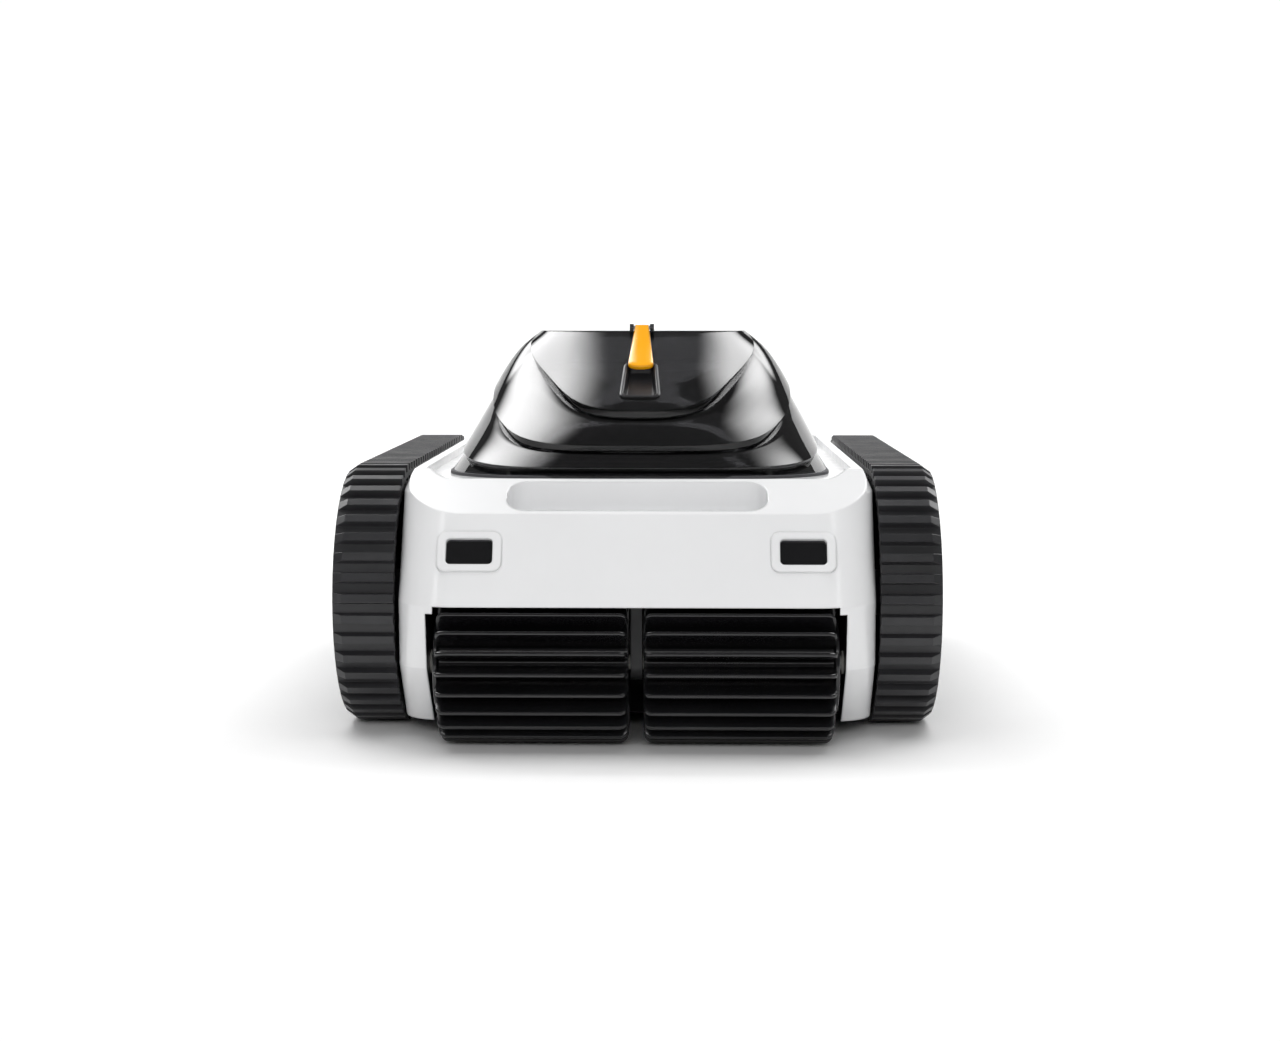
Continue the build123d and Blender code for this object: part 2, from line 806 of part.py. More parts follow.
with BuildPart() as cover_screws:
    for side in SIDES.values():
        for screw_z in (axle_z - screw_reach, axle_z + screw_reach):
            for screw_y in (mid_axle_y - screw_reach / 2, mid_axle_y + screw_reach / 2):
                rod(side, cover_x - 3 * wall, cover_x + cover_thickness, screw_y, screw_z, screw_radius / 2)
                head_x = cover_x + cover_thickness
                rod(side, head_x, head_x + screw_head, screw_y, screw_z, screw_radius)
finish_piece(cover_screws, "cover_screws")


# ---------------------------------------------------------------- brush rollers
def fin_envelope(side):
    """The roller's outside, with rounded ends to its fins."""
    with BuildPart() as envelope:
        rod(side, brush_half_gap, brush_outer_x, brush_y, brush_z, brush_radius)
        fillet(envelope.edges().filter_by(GeomType.CIRCLE), fin_end_radius)
    return envelope.part


for name, side in SIDES.items():
    with BuildPart() as brush:
        with BuildSketch(Plane.YZ.offset(side * brush_half_gap)):
            with Locations((brush_y, brush_z)):
                Circle(brush_core_radius)
                with PolarLocations(brush_radius / 2, brush_fins):
                    Rectangle(brush_radius + part_gap, fin_thickness)
        extrude(amount=side * (brush_outer_x - brush_half_gap))
        add(fin_envelope(side), mode=Mode.INTERSECT)
        rod(side, brush_outer_x, brush_outer_x + flange_thickness, brush_y, brush_z, flange_radius)
        rod(side, 0, cheek_x, brush_y, brush_z, brush_shaft_radius, Mode.SUBTRACT)
    finish_piece(brush, f"brush_{name}")

    with BuildPart() as brush_shaft:
        rod(side, bracket_half_width / 8, gear_x, brush_y, brush_z, brush_shaft_radius)
        gear_body(side, brush_gear_teeth, brush_tooth, brush_y, brush_z, 0)
    finish_piece(brush_shaft, f"brush_shaft_{name}")

# ---------------------------------------------------------------- lid
visor_tangent = math.tan(math.radians(visor_slope))
lid_levels = [
    (lid_level, lid_half_width, lid_front_y, lid_rear_y, lid_corner),
    *(
        (
            level,
            lid_half_width - inset,
            ridge_front_y - (ridge_level - level) / visor_tangent,
            lid_rear_y - rear,
            corner,
        )
        for level, inset, rear, corner in lid_profile
    ),
    (ridge_level, ridge_half_width, ridge_front_y, ridge_rear_y, ridge_corner),
]


def lid_form(side_inset, front_inset):
    """The lid's solid form, drawn in at its sides and along its visor."""
    sections = []
    for level, half_width, front, rear, radius in lid_levels:
        if side_inset and level == lid_level:
            level -= part_gap
        if side_inset and level == ridge_level:
            level -= lid_wall
        corner = max(radius - side_inset, radius / 2)
        sections.append(
            plan_rectangle(level, half_width - side_inset, front + front_inset, rear - side_inset, corner)
        )
    return loft(sections, ruled=True, mode=Mode.PRIVATE)


# A plane on the visor at the ridge: its own -Y runs down the visor and its Z stands on it.
visor_plane = Plane(
    origin=(0, ridge_front_y, ridge_level),
    x_dir=(1, 0, 0),
    z_dir=(0, -math.sin(math.radians(visor_slope)), math.cos(math.radians(visor_slope))),
)
tab_pin_height = tab_lift + tab_thickness / 2
tab_slot_half = tab_top_width / 2 + part_gap
finger_start = tab_length - finger_overlap
finger_end = finger_start + finger_length


def visor_slab(low, high, top_half, end_half, start, end):
    """A tapering slab on the visor, between two heights, from one distance down it to another."""
    with BuildSketch(visor_plane.offset(low)) as slab:
        with BuildLine():
            Polyline(
                (-top_half, -start), (-end_half, -end), (end_half, -end), (top_half, -start), close=True
            )
        make_face()
    return extrude(slab.sketch, high - low, mode=Mode.PRIVATE)


with BuildPart() as lid:
    add(lid_form(0, 0))
    add(lid_form(lid_wall, visor_inset), mode=Mode.SUBTRACT)
    # the finger pocket below the tab
    cup = visor_slab(
        -finger_depth - finger_wall,
        -part_gap,
        tab_end_width / 2 + part_gap + finger_wall,
        finger_width / 2 + finger_wall,
        finger_start - finger_wall,
        finger_end + finger_wall,
    )
    add(cup)
    pocket = visor_slab(
        -finger_depth, finger_depth, tab_end_width / 2 + part_gap, finger_width / 2, finger_start, finger_end
    )
    add(pocket, mode=Mode.SUBTRACT)
    # the ears at the ridge, for the tab's pin
    for side in SIDES.values():
        ear_x = sorted((side * tab_slot_half, side * (tab_slot_half + wall)))
        with BuildSketch(visor_plane.offset(-lid_wall)):
            with Locations((sum(ear_x) / 2, 0)):
                Rectangle(wall, 2 * tab_barrel_radius)
        extrude(amount=lid_wall + tab_pin_height + tab_barrel_radius)
    tab_pin_plane = Plane(
        origin=visor_plane.from_local_coords((0, 0, tab_pin_height)), x_dir=(0, 1, 0), z_dir=(1, 0, 0)
    )
    with BuildSketch(tab_pin_plane.offset(-tab_slot_half - 2 * wall)):
        Circle(tab_pin_radius)
    extrude(amount=2 * tab_slot_half + 4 * wall, mode=Mode.SUBTRACT)
    # the hinge knuckles behind the lid
    for side in SIDES.values():
        near, far = hinge_x - knuckle_half_length, hinge_x + knuckle_half_length
        rod(side, near, far, hinge_y, hinge_z, knuckle_radius)
        low_x, high_x = sorted((side * near, side * far))
        block((low_x, lid_rear_y - lid_wall, lid_level), (high_x, hinge_y, hinge_z + knuckle_radius / 2))
        rod(side, near, far, hinge_y, hinge_z, hinge_pin_radius + running_fit, Mode.SUBTRACT)
finish_piece(lid, "lid")

with BuildPart() as lid_hinge_pins:
    for side in SIDES.values():
        rod(side, ear_near, ear_far + ear_width, hinge_y, hinge_z, hinge_pin_radius)
finish_piece(lid_hinge_pins, "lid_hinge_pins")

with BuildPart() as lid_gasket:
    edge = part_gap
    add(
        plan_prism(
            deck_level,
            lid_level,
            lid_half_width - edge,
            lid_front_y + edge,
            lid_rear_y - edge,
            lid_corner - edge,
        )
    )
    inner = gasket_width + edge
    hollow = plan_prism(
        deck_level,
        lid_level,
        lid_half_width - inner,
        lid_front_y + inner,
        lid_rear_y - inner,
        lid_corner - inner,
    )
    add(hollow, mode=Mode.SUBTRACT)
finish_piece(lid_gasket, "lid_gasket")

with BuildPart() as lift_tab:
    strip = visor_slab(
        tab_lift, tab_lift + tab_thickness, tab_top_width / 2, tab_end_width / 2, 0, tab_length
    )
    add(strip)
    with BuildSketch(tab_pin_plane.offset(-tab_top_width / 2)):
        Circle(tab_barrel_radius - slip_gap)
    extrude(amount=tab_top_width)
    with BuildSketch(tab_pin_plane.offset(-tab_top_width)):
        Circle(tab_pin_radius + running_fit)
    extrude(amount=2 * tab_top_width, mode=Mode.SUBTRACT)
finish_piece(lift_tab, "lift_tab")

with BuildPart() as lift_tab_pin:
    with BuildSketch(tab_pin_plane.offset(-tab_slot_half - wall)):
        Circle(tab_pin_radius)
    extrude(amount=2 * (tab_slot_half + wall))
finish_piece(lift_tab_pin, "lift_tab_pin")

# ---------------------------------------------------------------- filter basket and inlet
duct_margin = 3 * inlet_wall
duct_hole = (
    (-inlet_half_width - duct_margin, inlet_y - inlet_depth / 2 - duct_margin, 0),
    (inlet_half_width + duct_margin, inlet_y + inlet_depth / 2 + duct_margin, 2 * basket_floor),
)
with BuildPart() as basket_frame:
    add(
        plan_prism(
            basket_floor, basket_top, basket_half_width, basket_front_y, basket_rear_y, basket_corner
        )
    )
    add(
        plan_prism(
            deck_level,
            deck_level + wall,
            basket_half_width + basket_flange,
            basket_front_y - basket_flange,
            basket_rear_y + basket_flange,
            basket_corner + basket_flange,
        )
    )
    add(
        plan_prism(
            basket_floor + basket_wall,
            2 * basket_top,
            basket_half_width - basket_wall,
            basket_front_y + basket_wall,
            basket_rear_y - basket_wall,
            basket_corner - basket_wall,
        ),
        mode=Mode.SUBTRACT,
    )
    for row_level, row_height in basket_rows:
        with BuildSketch(Plane.XZ.offset(-basket_rear_y - wall)):
            with Locations((0, row_level)):
                with GridLocations(slot_pitch, row_height, front_slots, 1):
                    SlotOverall(row_height, slot_width, rotation=90)
        extrude(amount=basket_length + 2 * wall, mode=Mode.SUBTRACT)
        with BuildSketch(Plane.YZ.offset(-basket_half_width - wall)):
            with Locations((basket_y, row_level)):
                with GridLocations(slot_pitch, row_height, side_slots, 1):
                    SlotOverall(row_height, slot_width, rotation=90)
        extrude(amount=2 * (basket_half_width + wall), mode=Mode.SUBTRACT)
    block(*duct_hole, Mode.SUBTRACT)
finish_piece(basket_frame, "basket_frame")

mesh_inset = basket_wall + slip_gap
mesh_floor = basket_floor + basket_wall
with BuildPart() as basket_mesh:
    for extra, top, mode in ((0.0, basket_top - wall, Mode.ADD), (mesh_wall, 2 * basket_top, Mode.SUBTRACT)):
        inset = mesh_inset + extra
        add(
            plan_prism(
                mesh_floor + extra,
                top,
                basket_half_width - inset,
                basket_front_y + inset,
                basket_rear_y - inset,
                basket_corner - inset,
            ),
            mode=mode,
        )
    block(*duct_hole, Mode.SUBTRACT)
finish_piece(basket_mesh, "basket_mesh")

handle_top = basket_top + handle_rise
with BuildPart() as basket_handle:
    for side in SIDES.values():
        low_x, high_x = sorted((side * basket_half_width, side * (basket_half_width + wall)))
        block(
            (low_x, basket_y - handle_bar / 2, basket_top - handle_leg),
            (high_x, basket_y + handle_bar / 2, handle_top),
        )
    block(
        (-basket_half_width - wall, basket_y - handle_bar / 2, handle_top - wall),
        (basket_half_width + wall, basket_y + handle_bar / 2, handle_top),
    )
finish_piece(basket_handle, "basket_handle")

duct_front = inlet_y - inlet_depth / 2
duct_rear = inlet_y + inlet_depth / 2
flap_half = inlet_half_width - part_gap
with BuildPart() as inlet_duct:
    block(
        (-inlet_half_width - inlet_wall, duct_front - inlet_wall, pan_top),
        (inlet_half_width + inlet_wall, duct_rear + inlet_wall, inlet_top),
    )
    block(
        (-inlet_half_width, duct_front, 0), (inlet_half_width, duct_rear, 2 * inlet_top), Mode.SUBTRACT
    )
    for side in SIDES.values():
        low_x, high_x = sorted((side * flap_half, side * (flap_half - flap_ear)))
        block(
            (low_x, duct_rear, inlet_top - flap_barrel_radius),
            (high_x, flap_pin_y + flap_barrel_radius, flap_pin_z),
        )
        rod(side, flap_half - flap_ear, flap_half, flap_pin_y, flap_pin_z, flap_barrel_radius)
        rod(side, 0, inlet_half_width + wall, flap_pin_y, flap_pin_z, flap_pin_radius, Mode.SUBTRACT)
finish_piece(inlet_duct, "inlet_duct")

flap_reach = flap_half - flap_ear - slip_gap
with BuildPart() as inlet_flap:
    block(
        (-inlet_half_width - inlet_wall / 2, duct_front - inlet_wall / 2, inlet_top + slip_gap),
        (inlet_half_width + inlet_wall / 2, duct_rear - part_gap, inlet_top + slip_gap + flap_thickness),
    )
    block(
        (-flap_reach, duct_rear - part_gap, inlet_top + slip_gap),
        (flap_reach, flap_pin_y, inlet_top + slip_gap + flap_thickness),
    )
    rod(1, -flap_reach, flap_reach, flap_pin_y, flap_pin_z, flap_barrel_radius - slip_gap)
    rod(1, -flap_reach, flap_reach, flap_pin_y, flap_pin_z, flap_pin_radius + running_fit, Mode.SUBTRACT)
finish_piece(inlet_flap, "inlet_flap")

with BuildPart() as flap_pin:
    rod(1, -flap_half, flap_half, flap_pin_y, flap_pin_z, flap_pin_radius)
finish_piece(flap_pin, "flap_pin")

# ---------------------------------------------------------------- motor box and what it holds
saddle_near = drive_motor_end - drive_motor_length + saddle_inset
saddle_far = drive_motor_end - saddle_inset
with BuildPart() as motor_box:
    add(plan_prism(pan_top, box_top, box_half_width, box_front_y, box_rear_y, box_corner))
    hollow = plan_prism(
        box_floor,
        2 * box_top,
        box_half_width - wall,
        box_front_y + wall,
        box_rear_y - wall,
        box_corner - wall,
    )
    add(hollow, mode=Mode.SUBTRACT)
    for side in SIDES.values():
        low_x, high_x = sorted((side * saddle_near, side * saddle_far))
        block((low_x, pinion_y - saddle_half, pan_top), (high_x, pinion_y + saddle_half, axle_z))
        cradle = drive_motor_radius + slip_gap
        shaft_hole = motor_shaft_radius + running_fit
        rod(side, saddle_near - wall, drive_motor_end, pinion_y, axle_z, cradle, Mode.SUBTRACT)
        rod(side, drive_motor_end, box_half_width + wall, pinion_y, axle_z, shaft_hole, Mode.SUBTRACT)
finish_piece(motor_box, "motor_box")

with BuildPart() as motor_box_seal:
    add(plan_prism(box_top, cover_level, box_half_width, box_front_y, box_rear_y, box_corner))
    hollow = plan_prism(
        box_top, cover_level, box_half_width - wall, box_front_y + wall, box_rear_y - wall, box_corner - wall
    )
    add(hollow, mode=Mode.SUBTRACT)
finish_piece(motor_box_seal, "motor_box_seal")

with BuildPart() as motor_box_cover:
    add(plan_prism(cover_level, duct_level, box_half_width, box_front_y, box_rear_y, box_corner))
    post(0, pump_y, 0, 2 * duct_level, motor_shaft_radius + running_fit, Mode.SUBTRACT)
finish_piece(motor_box_cover, "motor_box_cover")

for name, side in SIDES.items():
    with BuildPart() as drive_motor:
        motor_start = drive_motor_end - drive_motor_length
        rod(side, motor_start, drive_motor_end, pinion_y, axle_z, drive_motor_radius)
        chamfer(drive_motor.edges().filter_by(GeomType.CIRCLE), part_gap)
    finish_piece(drive_motor, f"drive_motor_{name}")

battery_rear_y = box_front_y + wall + part_gap + battery_length
with BuildPart() as battery_pack:
    block(
        (-battery_half_width, box_front_y + wall + part_gap, box_floor),
        (battery_half_width, battery_rear_y, box_floor + battery_height),
    )
    fillet(battery_pack.edges().filter_by(Axis.Z), battery_corner)
finish_piece(battery_pack, "battery_pack")

board_level = box_floor + battery_height + board_gap
with BuildPart() as control_board:
    board_front = box_front_y + 2 * wall
    board_rear = battery_rear_y - wall
    block(
        (-battery_half_width + wall, board_front, board_level),
        (battery_half_width - wall, board_rear, board_level + board_thickness),
    )
    with Locations((0, (board_front + board_rear) / 2, board_level - board_gap / 2)):
        with GridLocations(2 * (battery_half_width - 3 * wall), board_rear - board_front - 3 * wall, 2, 2):
            Cylinder(wall, board_gap)
    chip_level = board_level + board_thickness + chip_height / 2
    with Locations((0, (board_front + board_rear) / 2, chip_level)):
        with GridLocations(chip_pitch_x, chip_pitch_y, 3, 2):
            Box(chip_length, chip_width, chip_height)
finish_piece(control_board, "control_board")

with BuildPart() as pump_motor:
    post(0, pump_y, cover_level - pump_motor_length, cover_level, pump_motor_radius)
    chamfer(pump_motor.edges().group_by(Axis.Z)[0], 2 * part_gap)
finish_piece(pump_motor, "pump_motor")

impeller_low = duct_level + impeller_lift
with BuildPart() as impeller:
    post(0, pump_y, cover_level, impeller_low + impeller_height, motor_shaft_radius)
    post(0, pump_y, impeller_low, impeller_low + impeller_height, impeller_hub)
    with BuildSketch(Plane.XY.offset(impeller_low)):
        with Locations((0, pump_y)):
            with PolarLocations(impeller_radius / 2, blade_count):
                Rectangle(impeller_radius - 2 * part_gap, blade_thickness, rotation=blade_lean)
            Circle(impeller_radius, mode=Mode.INTERSECT)
    extrude(amount=impeller_height)
finish_piece(impeller, "impeller")

with BuildPart() as pump_duct:
    post(0, pump_y, duct_level, deck_level - wall, duct_radius + duct_wall)
    post(0, pump_y, 0, 2 * deck_level, duct_radius, Mode.SUBTRACT)
    block((-duct_window, 0, duct_level), (duct_window, pump_y, deck_level - 4 * wall), Mode.SUBTRACT)
finish_piece(pump_duct, "pump_duct")

with BuildPart() as outlet_grille:
    with BuildSketch(Plane.XY.offset(deck_level)):
        with Locations((0, pump_y)):
            Circle(duct_radius + 2 * duct_wall)
            Circle(duct_radius - duct_wall / 2, mode=Mode.SUBTRACT)
            Circle(grille_ring)
            Circle(grille_ring - wall, mode=Mode.SUBTRACT)
            Circle(grille_hub)
            with PolarLocations(duct_radius / 2, grille_spokes):
                Rectangle(duct_radius, wall)
    extrude(amount=grille_height)
finish_piece(outlet_grille, "outlet_grille")

# ---------------------------------------------------------------- sensors, button, port and light
for name, side in SIDES.items():
    with BuildPart() as sensor_bezel:
        with BuildSketch(sensor_plane(side, bezel_depth)):
            RectangleRounded(sensor_width, sensor_height, sensor_radius)
            RectangleRounded(window_width, window_height, sensor_radius / 2, mode=Mode.SUBTRACT)
        extrude(amount=bezel_depth + bezel_proud)
        with BuildSketch(sensor_plane(side, bezel_depth + wall)):
            RectangleRounded(sensor_width + wall, sensor_height + wall, sensor_radius)
            RectangleRounded(window_width, window_height, sensor_radius / 2, mode=Mode.SUBTRACT)
        extrude(amount=wall)
    finish_piece(sensor_bezel, f"sensor_bezel_{name}")

    with BuildPart() as sensor_window:
        with BuildSketch(sensor_plane(side, window_sink + wall)):
            RectangleRounded(window_width, window_height, sensor_radius / 2)
        extrude(amount=wall)
    finish_piece(sensor_window, f"sensor_window_{name}")

button_flange_level = deck_level - wall - 2 * wall
with BuildPart() as power_button:
    post(-control_x, control_y, button_flange_level, deck_level + button_proud, button_radius)
    flange_top = deck_level - wall - slip_gap
    post(-control_x, control_y, button_flange_level, flange_top, button_radius + button_flange)
finish_piece(power_button, "power_button")

with BuildPart() as power_switch:
    post(-control_x, control_y, duct_level, button_flange_level - button_travel - slip_gap, button_radius)
finish_piece(power_switch, "power_switch")

cap_level = deck_level + wall / 2
port_floor = deck_level - 5 * wall
cap_hinge_y = control_y + port_radius + cap_hinge_reach
cap_hinge_z = cap_level + slip_gap + wall / 2
with BuildPart() as charging_port:
    post(control_x, control_y, port_floor, deck_level, port_radius)
    post(control_x, control_y, deck_level, cap_level, port_radius + port_flange)
    for side in SIDES.values():
        low_x, high_x = sorted((control_x + side * cap_ear_near, control_x + side * cap_ear_far))
        block(
            (low_x, cap_hinge_y - cap_barrel_radius, deck_level),
            (high_x, cap_hinge_y + cap_barrel_radius, cap_hinge_z + cap_barrel_radius),
        )
        block((low_x, control_y, deck_level), (high_x, cap_hinge_y, cap_level))
    low_x, high_x = control_x - cap_ear_far, control_x + cap_ear_far
    rod(1, low_x, high_x, cap_hinge_y, cap_hinge_z, cap_pin_radius, Mode.SUBTRACT)
    post(control_x, control_y, port_floor + wall, 2 * deck_level, port_bore, Mode.SUBTRACT)
finish_piece(charging_port, "charging_port")

cap_low = cap_level + slip_gap
cap_reach = cap_ear_near - slip_gap
with BuildPart() as charging_cap:
    post(control_x, control_y, cap_low, cap_low + wall, port_radius)
    post(control_x, control_y, cap_low - wall, cap_low, port_bore - part_gap)
    block(
        (control_x - cap_reach, control_y, cap_low), (control_x + cap_reach, cap_hinge_y, cap_low + wall)
    )
    low_x, high_x = control_x - cap_reach, control_x + cap_reach
    rod(1, low_x, high_x, cap_hinge_y, cap_hinge_z, cap_barrel_radius - slip_gap)
    rod(1, low_x, high_x, cap_hinge_y, cap_hinge_z, cap_pin_radius + running_fit, Mode.SUBTRACT)
finish_piece(charging_cap, "charging_cap")

with BuildPart() as charging_cap_pin:
    rod(1, control_x - cap_ear_far, control_x + cap_ear_far, cap_hinge_y, cap_hinge_z, cap_pin_radius)
finish_piece(charging_cap_pin, "charging_cap_pin")

with BuildPart() as status_light:
    block(
        (-light_half_length, light_y - light_width / 2, deck_level - wall),
        (light_half_length, light_y + light_width / 2, deck_level + slip_gap),
    )
finish_piece(status_light, "status_light")
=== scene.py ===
"""The looks of the pool cleaner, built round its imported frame. Front is -Y, up is +Z, in metres."""

import json
import math

import bmesh
import bpy
import numpy as np
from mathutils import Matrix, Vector


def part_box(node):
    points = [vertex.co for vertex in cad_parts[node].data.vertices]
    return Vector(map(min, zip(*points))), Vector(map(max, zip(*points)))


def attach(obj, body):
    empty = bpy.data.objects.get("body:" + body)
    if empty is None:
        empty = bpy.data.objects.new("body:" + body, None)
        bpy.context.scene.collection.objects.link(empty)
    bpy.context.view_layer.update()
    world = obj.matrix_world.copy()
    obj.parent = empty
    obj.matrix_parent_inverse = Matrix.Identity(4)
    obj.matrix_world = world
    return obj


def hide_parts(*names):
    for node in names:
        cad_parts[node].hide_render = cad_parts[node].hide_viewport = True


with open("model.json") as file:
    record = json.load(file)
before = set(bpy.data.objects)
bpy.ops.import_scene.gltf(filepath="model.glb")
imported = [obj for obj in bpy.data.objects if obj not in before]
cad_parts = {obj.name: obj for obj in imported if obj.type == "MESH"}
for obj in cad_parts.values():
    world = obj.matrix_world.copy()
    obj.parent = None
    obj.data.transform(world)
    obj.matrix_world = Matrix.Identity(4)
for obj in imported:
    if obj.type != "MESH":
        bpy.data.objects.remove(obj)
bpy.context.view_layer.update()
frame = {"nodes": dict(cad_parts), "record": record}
nodes = frame["nodes"]


# ---------------------------------------------------------------- materials
def new_material(name):
    """A material with its node tree, its shader, and the place on the object."""
    material = bpy.data.materials.new(name)
    material.use_nodes = True
    tree = material.node_tree
    shader = tree.nodes["Principled BSDF"]
    place = tree.nodes.new("ShaderNodeTexCoord")
    return material, tree, shader, place.outputs["Object"]


def noise(tree, place, scale, detail=3.0, rough=0.5, stretch=None):
    """A noise value, stretched along the axes where that is given."""
    if stretch:
        mapping = tree.nodes.new("ShaderNodeMapping")
        mapping.inputs["Scale"].default_value = stretch
        tree.links.new(place, mapping.inputs["Vector"])
        place = mapping.outputs["Vector"]
    node = tree.nodes.new("ShaderNodeTexNoise")
    node.inputs["Scale"].default_value = scale
    node.inputs["Detail"].default_value = detail
    node.inputs["Roughness"].default_value = rough
    tree.links.new(place, node.inputs["Vector"])
    return node.outputs["Fac"]


def ramp(tree, value, stops):
    """A colour from a value, by (position, colour) stops."""
    node = tree.nodes.new("ShaderNodeValToRGB")
    while len(node.color_ramp.elements) < len(stops):
        node.color_ramp.elements.new(0.5)
    for element, (at, colour) in zip(node.color_ramp.elements, stops):
        element.position = at
        element.color = (*colour, 1.0)
    tree.links.new(value, node.inputs["Fac"])
    return node.outputs["Color"]


def spread(tree, value, low, high):
    """The middle of a noise value's range, spread between two numbers."""
    node = tree.nodes.new("ShaderNodeMapRange")
    node.inputs["From Min"].default_value = 0.3
    node.inputs["From Max"].default_value = 0.7
    node.inputs["To Min"].default_value = low
    node.inputs["To Max"].default_value = high
    tree.links.new(value, node.inputs["Value"])
    return node.outputs["Result"]


def moulded(name, colour, roughness, vary=0.06, grain=1400.0, height=0.00002, edge=0.0, **sockets):
    """Moulded plastic or rubber: a slow change of tone, uneven gloss and a fine grain."""
    material, tree, shader, place = new_material(name)
    slow = noise(tree, place, 14.0, 4.0, 0.6)
    dark = tuple(c * (1.0 - vary) for c in colour)
    light = tuple(min(1.0, c * (1.0 + vary)) for c in colour)
    tree.links.new(ramp(tree, slow, [(0.3, dark), (0.7, light)]), shader.inputs["Base Color"])
    cloudy = noise(tree, place, 60.0, 5.0, 0.65)
    tree.links.new(spread(tree, cloudy, roughness * 0.82, roughness * 1.2), shader.inputs["Roughness"])
    fine = noise(tree, place, grain, 2.0, 0.5)
    bump = tree.nodes.new("ShaderNodeBump")
    bump.inputs["Strength"].default_value = 0.5
    bump.inputs["Distance"].default_value = height
    tree.links.new(fine, bump.inputs["Height"])
    if edge:
        bevel = tree.nodes.new("ShaderNodeBevel")
        bevel.samples = 6
        bevel.inputs["Radius"].default_value = edge
        tree.links.new(bevel.outputs["Normal"], bump.inputs["Normal"])
    tree.links.new(bump.outputs["Normal"], shader.inputs["Normal"])
    for socket, value in sockets.items():
        shader.inputs[socket.replace("_", " ")].default_value = value
    return material


def smoked(name, tint, roughness):
    """Clear plastic tinted dark. Lamps shine through it, so that what it covers is lit."""
    material, tree, shader, place = new_material(name)
    shader.inputs["Transmission Weight"].default_value = 1.0
    shader.inputs["IOR"].default_value = 1.49
    slow = noise(tree, place, 9.0, 3.0, 0.5)
    dark = tuple(c * 0.88 for c in tint)
    tree.links.new(ramp(tree, slow, [(0.35, dark), (0.65, tint)]), shader.inputs["Base Color"])
    shader.inputs["Roughness"].default_value = roughness
    ripple = noise(tree, place, 34.0, 2.0, 0.4)
    bump = tree.nodes.new("ShaderNodeBump")
    bump.inputs["Strength"].default_value = 0.12
    bump.inputs["Distance"].default_value = 0.0003
    tree.links.new(ripple, bump.inputs["Height"])
    tree.links.new(bump.outputs["Normal"], shader.inputs["Normal"])
    clear = tree.nodes.new("ShaderNodeBsdfTransparent")
    clear.inputs["Color"].default_value = (0.34, 0.34, 0.35, 1.0)
    path = tree.nodes.new("ShaderNodeLightPath")
    mix = tree.nodes.new("ShaderNodeMixShader")
    tree.links.new(path.outputs["Is Shadow Ray"], mix.inputs["Fac"])
    tree.links.new(shader.outputs["BSDF"], mix.inputs[1])
    tree.links.new(clear.outputs["BSDF"], mix.inputs[2])
    tree.links.new(mix.outputs["Shader"], tree.nodes["Material Output"].inputs["Surface"])
    return material


def metal(name, colour, roughness):
    """Brushed metal, with fine marks along X."""
    material, tree, shader, place = new_material(name)
    brushed = noise(tree, place, 260.0, 4.0, 0.6, stretch=(1.0, 14.0, 14.0))
    dark = tuple(c * 0.85 for c in colour)
    tree.links.new(ramp(tree, brushed, [(0.3, dark), (0.7, colour)]), shader.inputs["Base Color"])
    tree.links.new(spread(tree, brushed, roughness * 0.7, roughness * 1.3), shader.inputs["Roughness"])
    shader.inputs["Metallic"].default_value = 1.0
    return material


def woven(name, thread, gap):
    """A fine square mesh, dark in its holes."""
    material, tree, shader, place = new_material(name)
    waves = []
    for direction in ("X", "Y", "Z"):
        wave = tree.nodes.new("ShaderNodeTexWave")
        wave.bands_direction = direction
        wave.inputs["Scale"].default_value = 160.0
        wave.inputs["Distortion"].default_value = 0.4
        tree.links.new(place, wave.inputs["Vector"])
        waves.append(wave.outputs["Fac"])
    weave = waves[0]
    for wave in waves[1:]:
        largest = tree.nodes.new("ShaderNodeMath")
        largest.operation = "MAXIMUM"
        tree.links.new(weave, largest.inputs[0])
        tree.links.new(wave, largest.inputs[1])
        weave = largest.outputs["Value"]
    tree.links.new(ramp(tree, weave, [(0.55, gap), (0.9, thread)]), shader.inputs["Base Color"])
    bump = tree.nodes.new("ShaderNodeBump")
    bump.inputs["Strength"].default_value = 0.6
    bump.inputs["Distance"].default_value = 0.0003
    tree.links.new(weave, bump.inputs["Height"])
    tree.links.new(bump.outputs["Normal"], shader.inputs["Normal"])
    shader.inputs["Roughness"].default_value = 0.55
    return material


def laminate(name, board, trace):
    """A circuit board: solder mask over copper tracks."""
    material, tree, shader, place = new_material(name)
    brick = tree.nodes.new("ShaderNodeTexBrick")
    brick.inputs["Scale"].default_value = 120.0
    brick.inputs["Mortar Size"].default_value = 0.06
    brick.inputs["Color1"].default_value = (*board, 1.0)
    brick.inputs["Color2"].default_value = (board[0] * 0.8, board[1] * 0.85, board[2] * 0.8, 1.0)
    brick.inputs["Mortar"].default_value = (*trace, 1.0)
    tree.links.new(place, brick.inputs["Vector"])
    tree.links.new(brick.outputs["Color"], shader.inputs["Base Color"])
    shader.inputs["Roughness"].default_value = 0.3
    return material


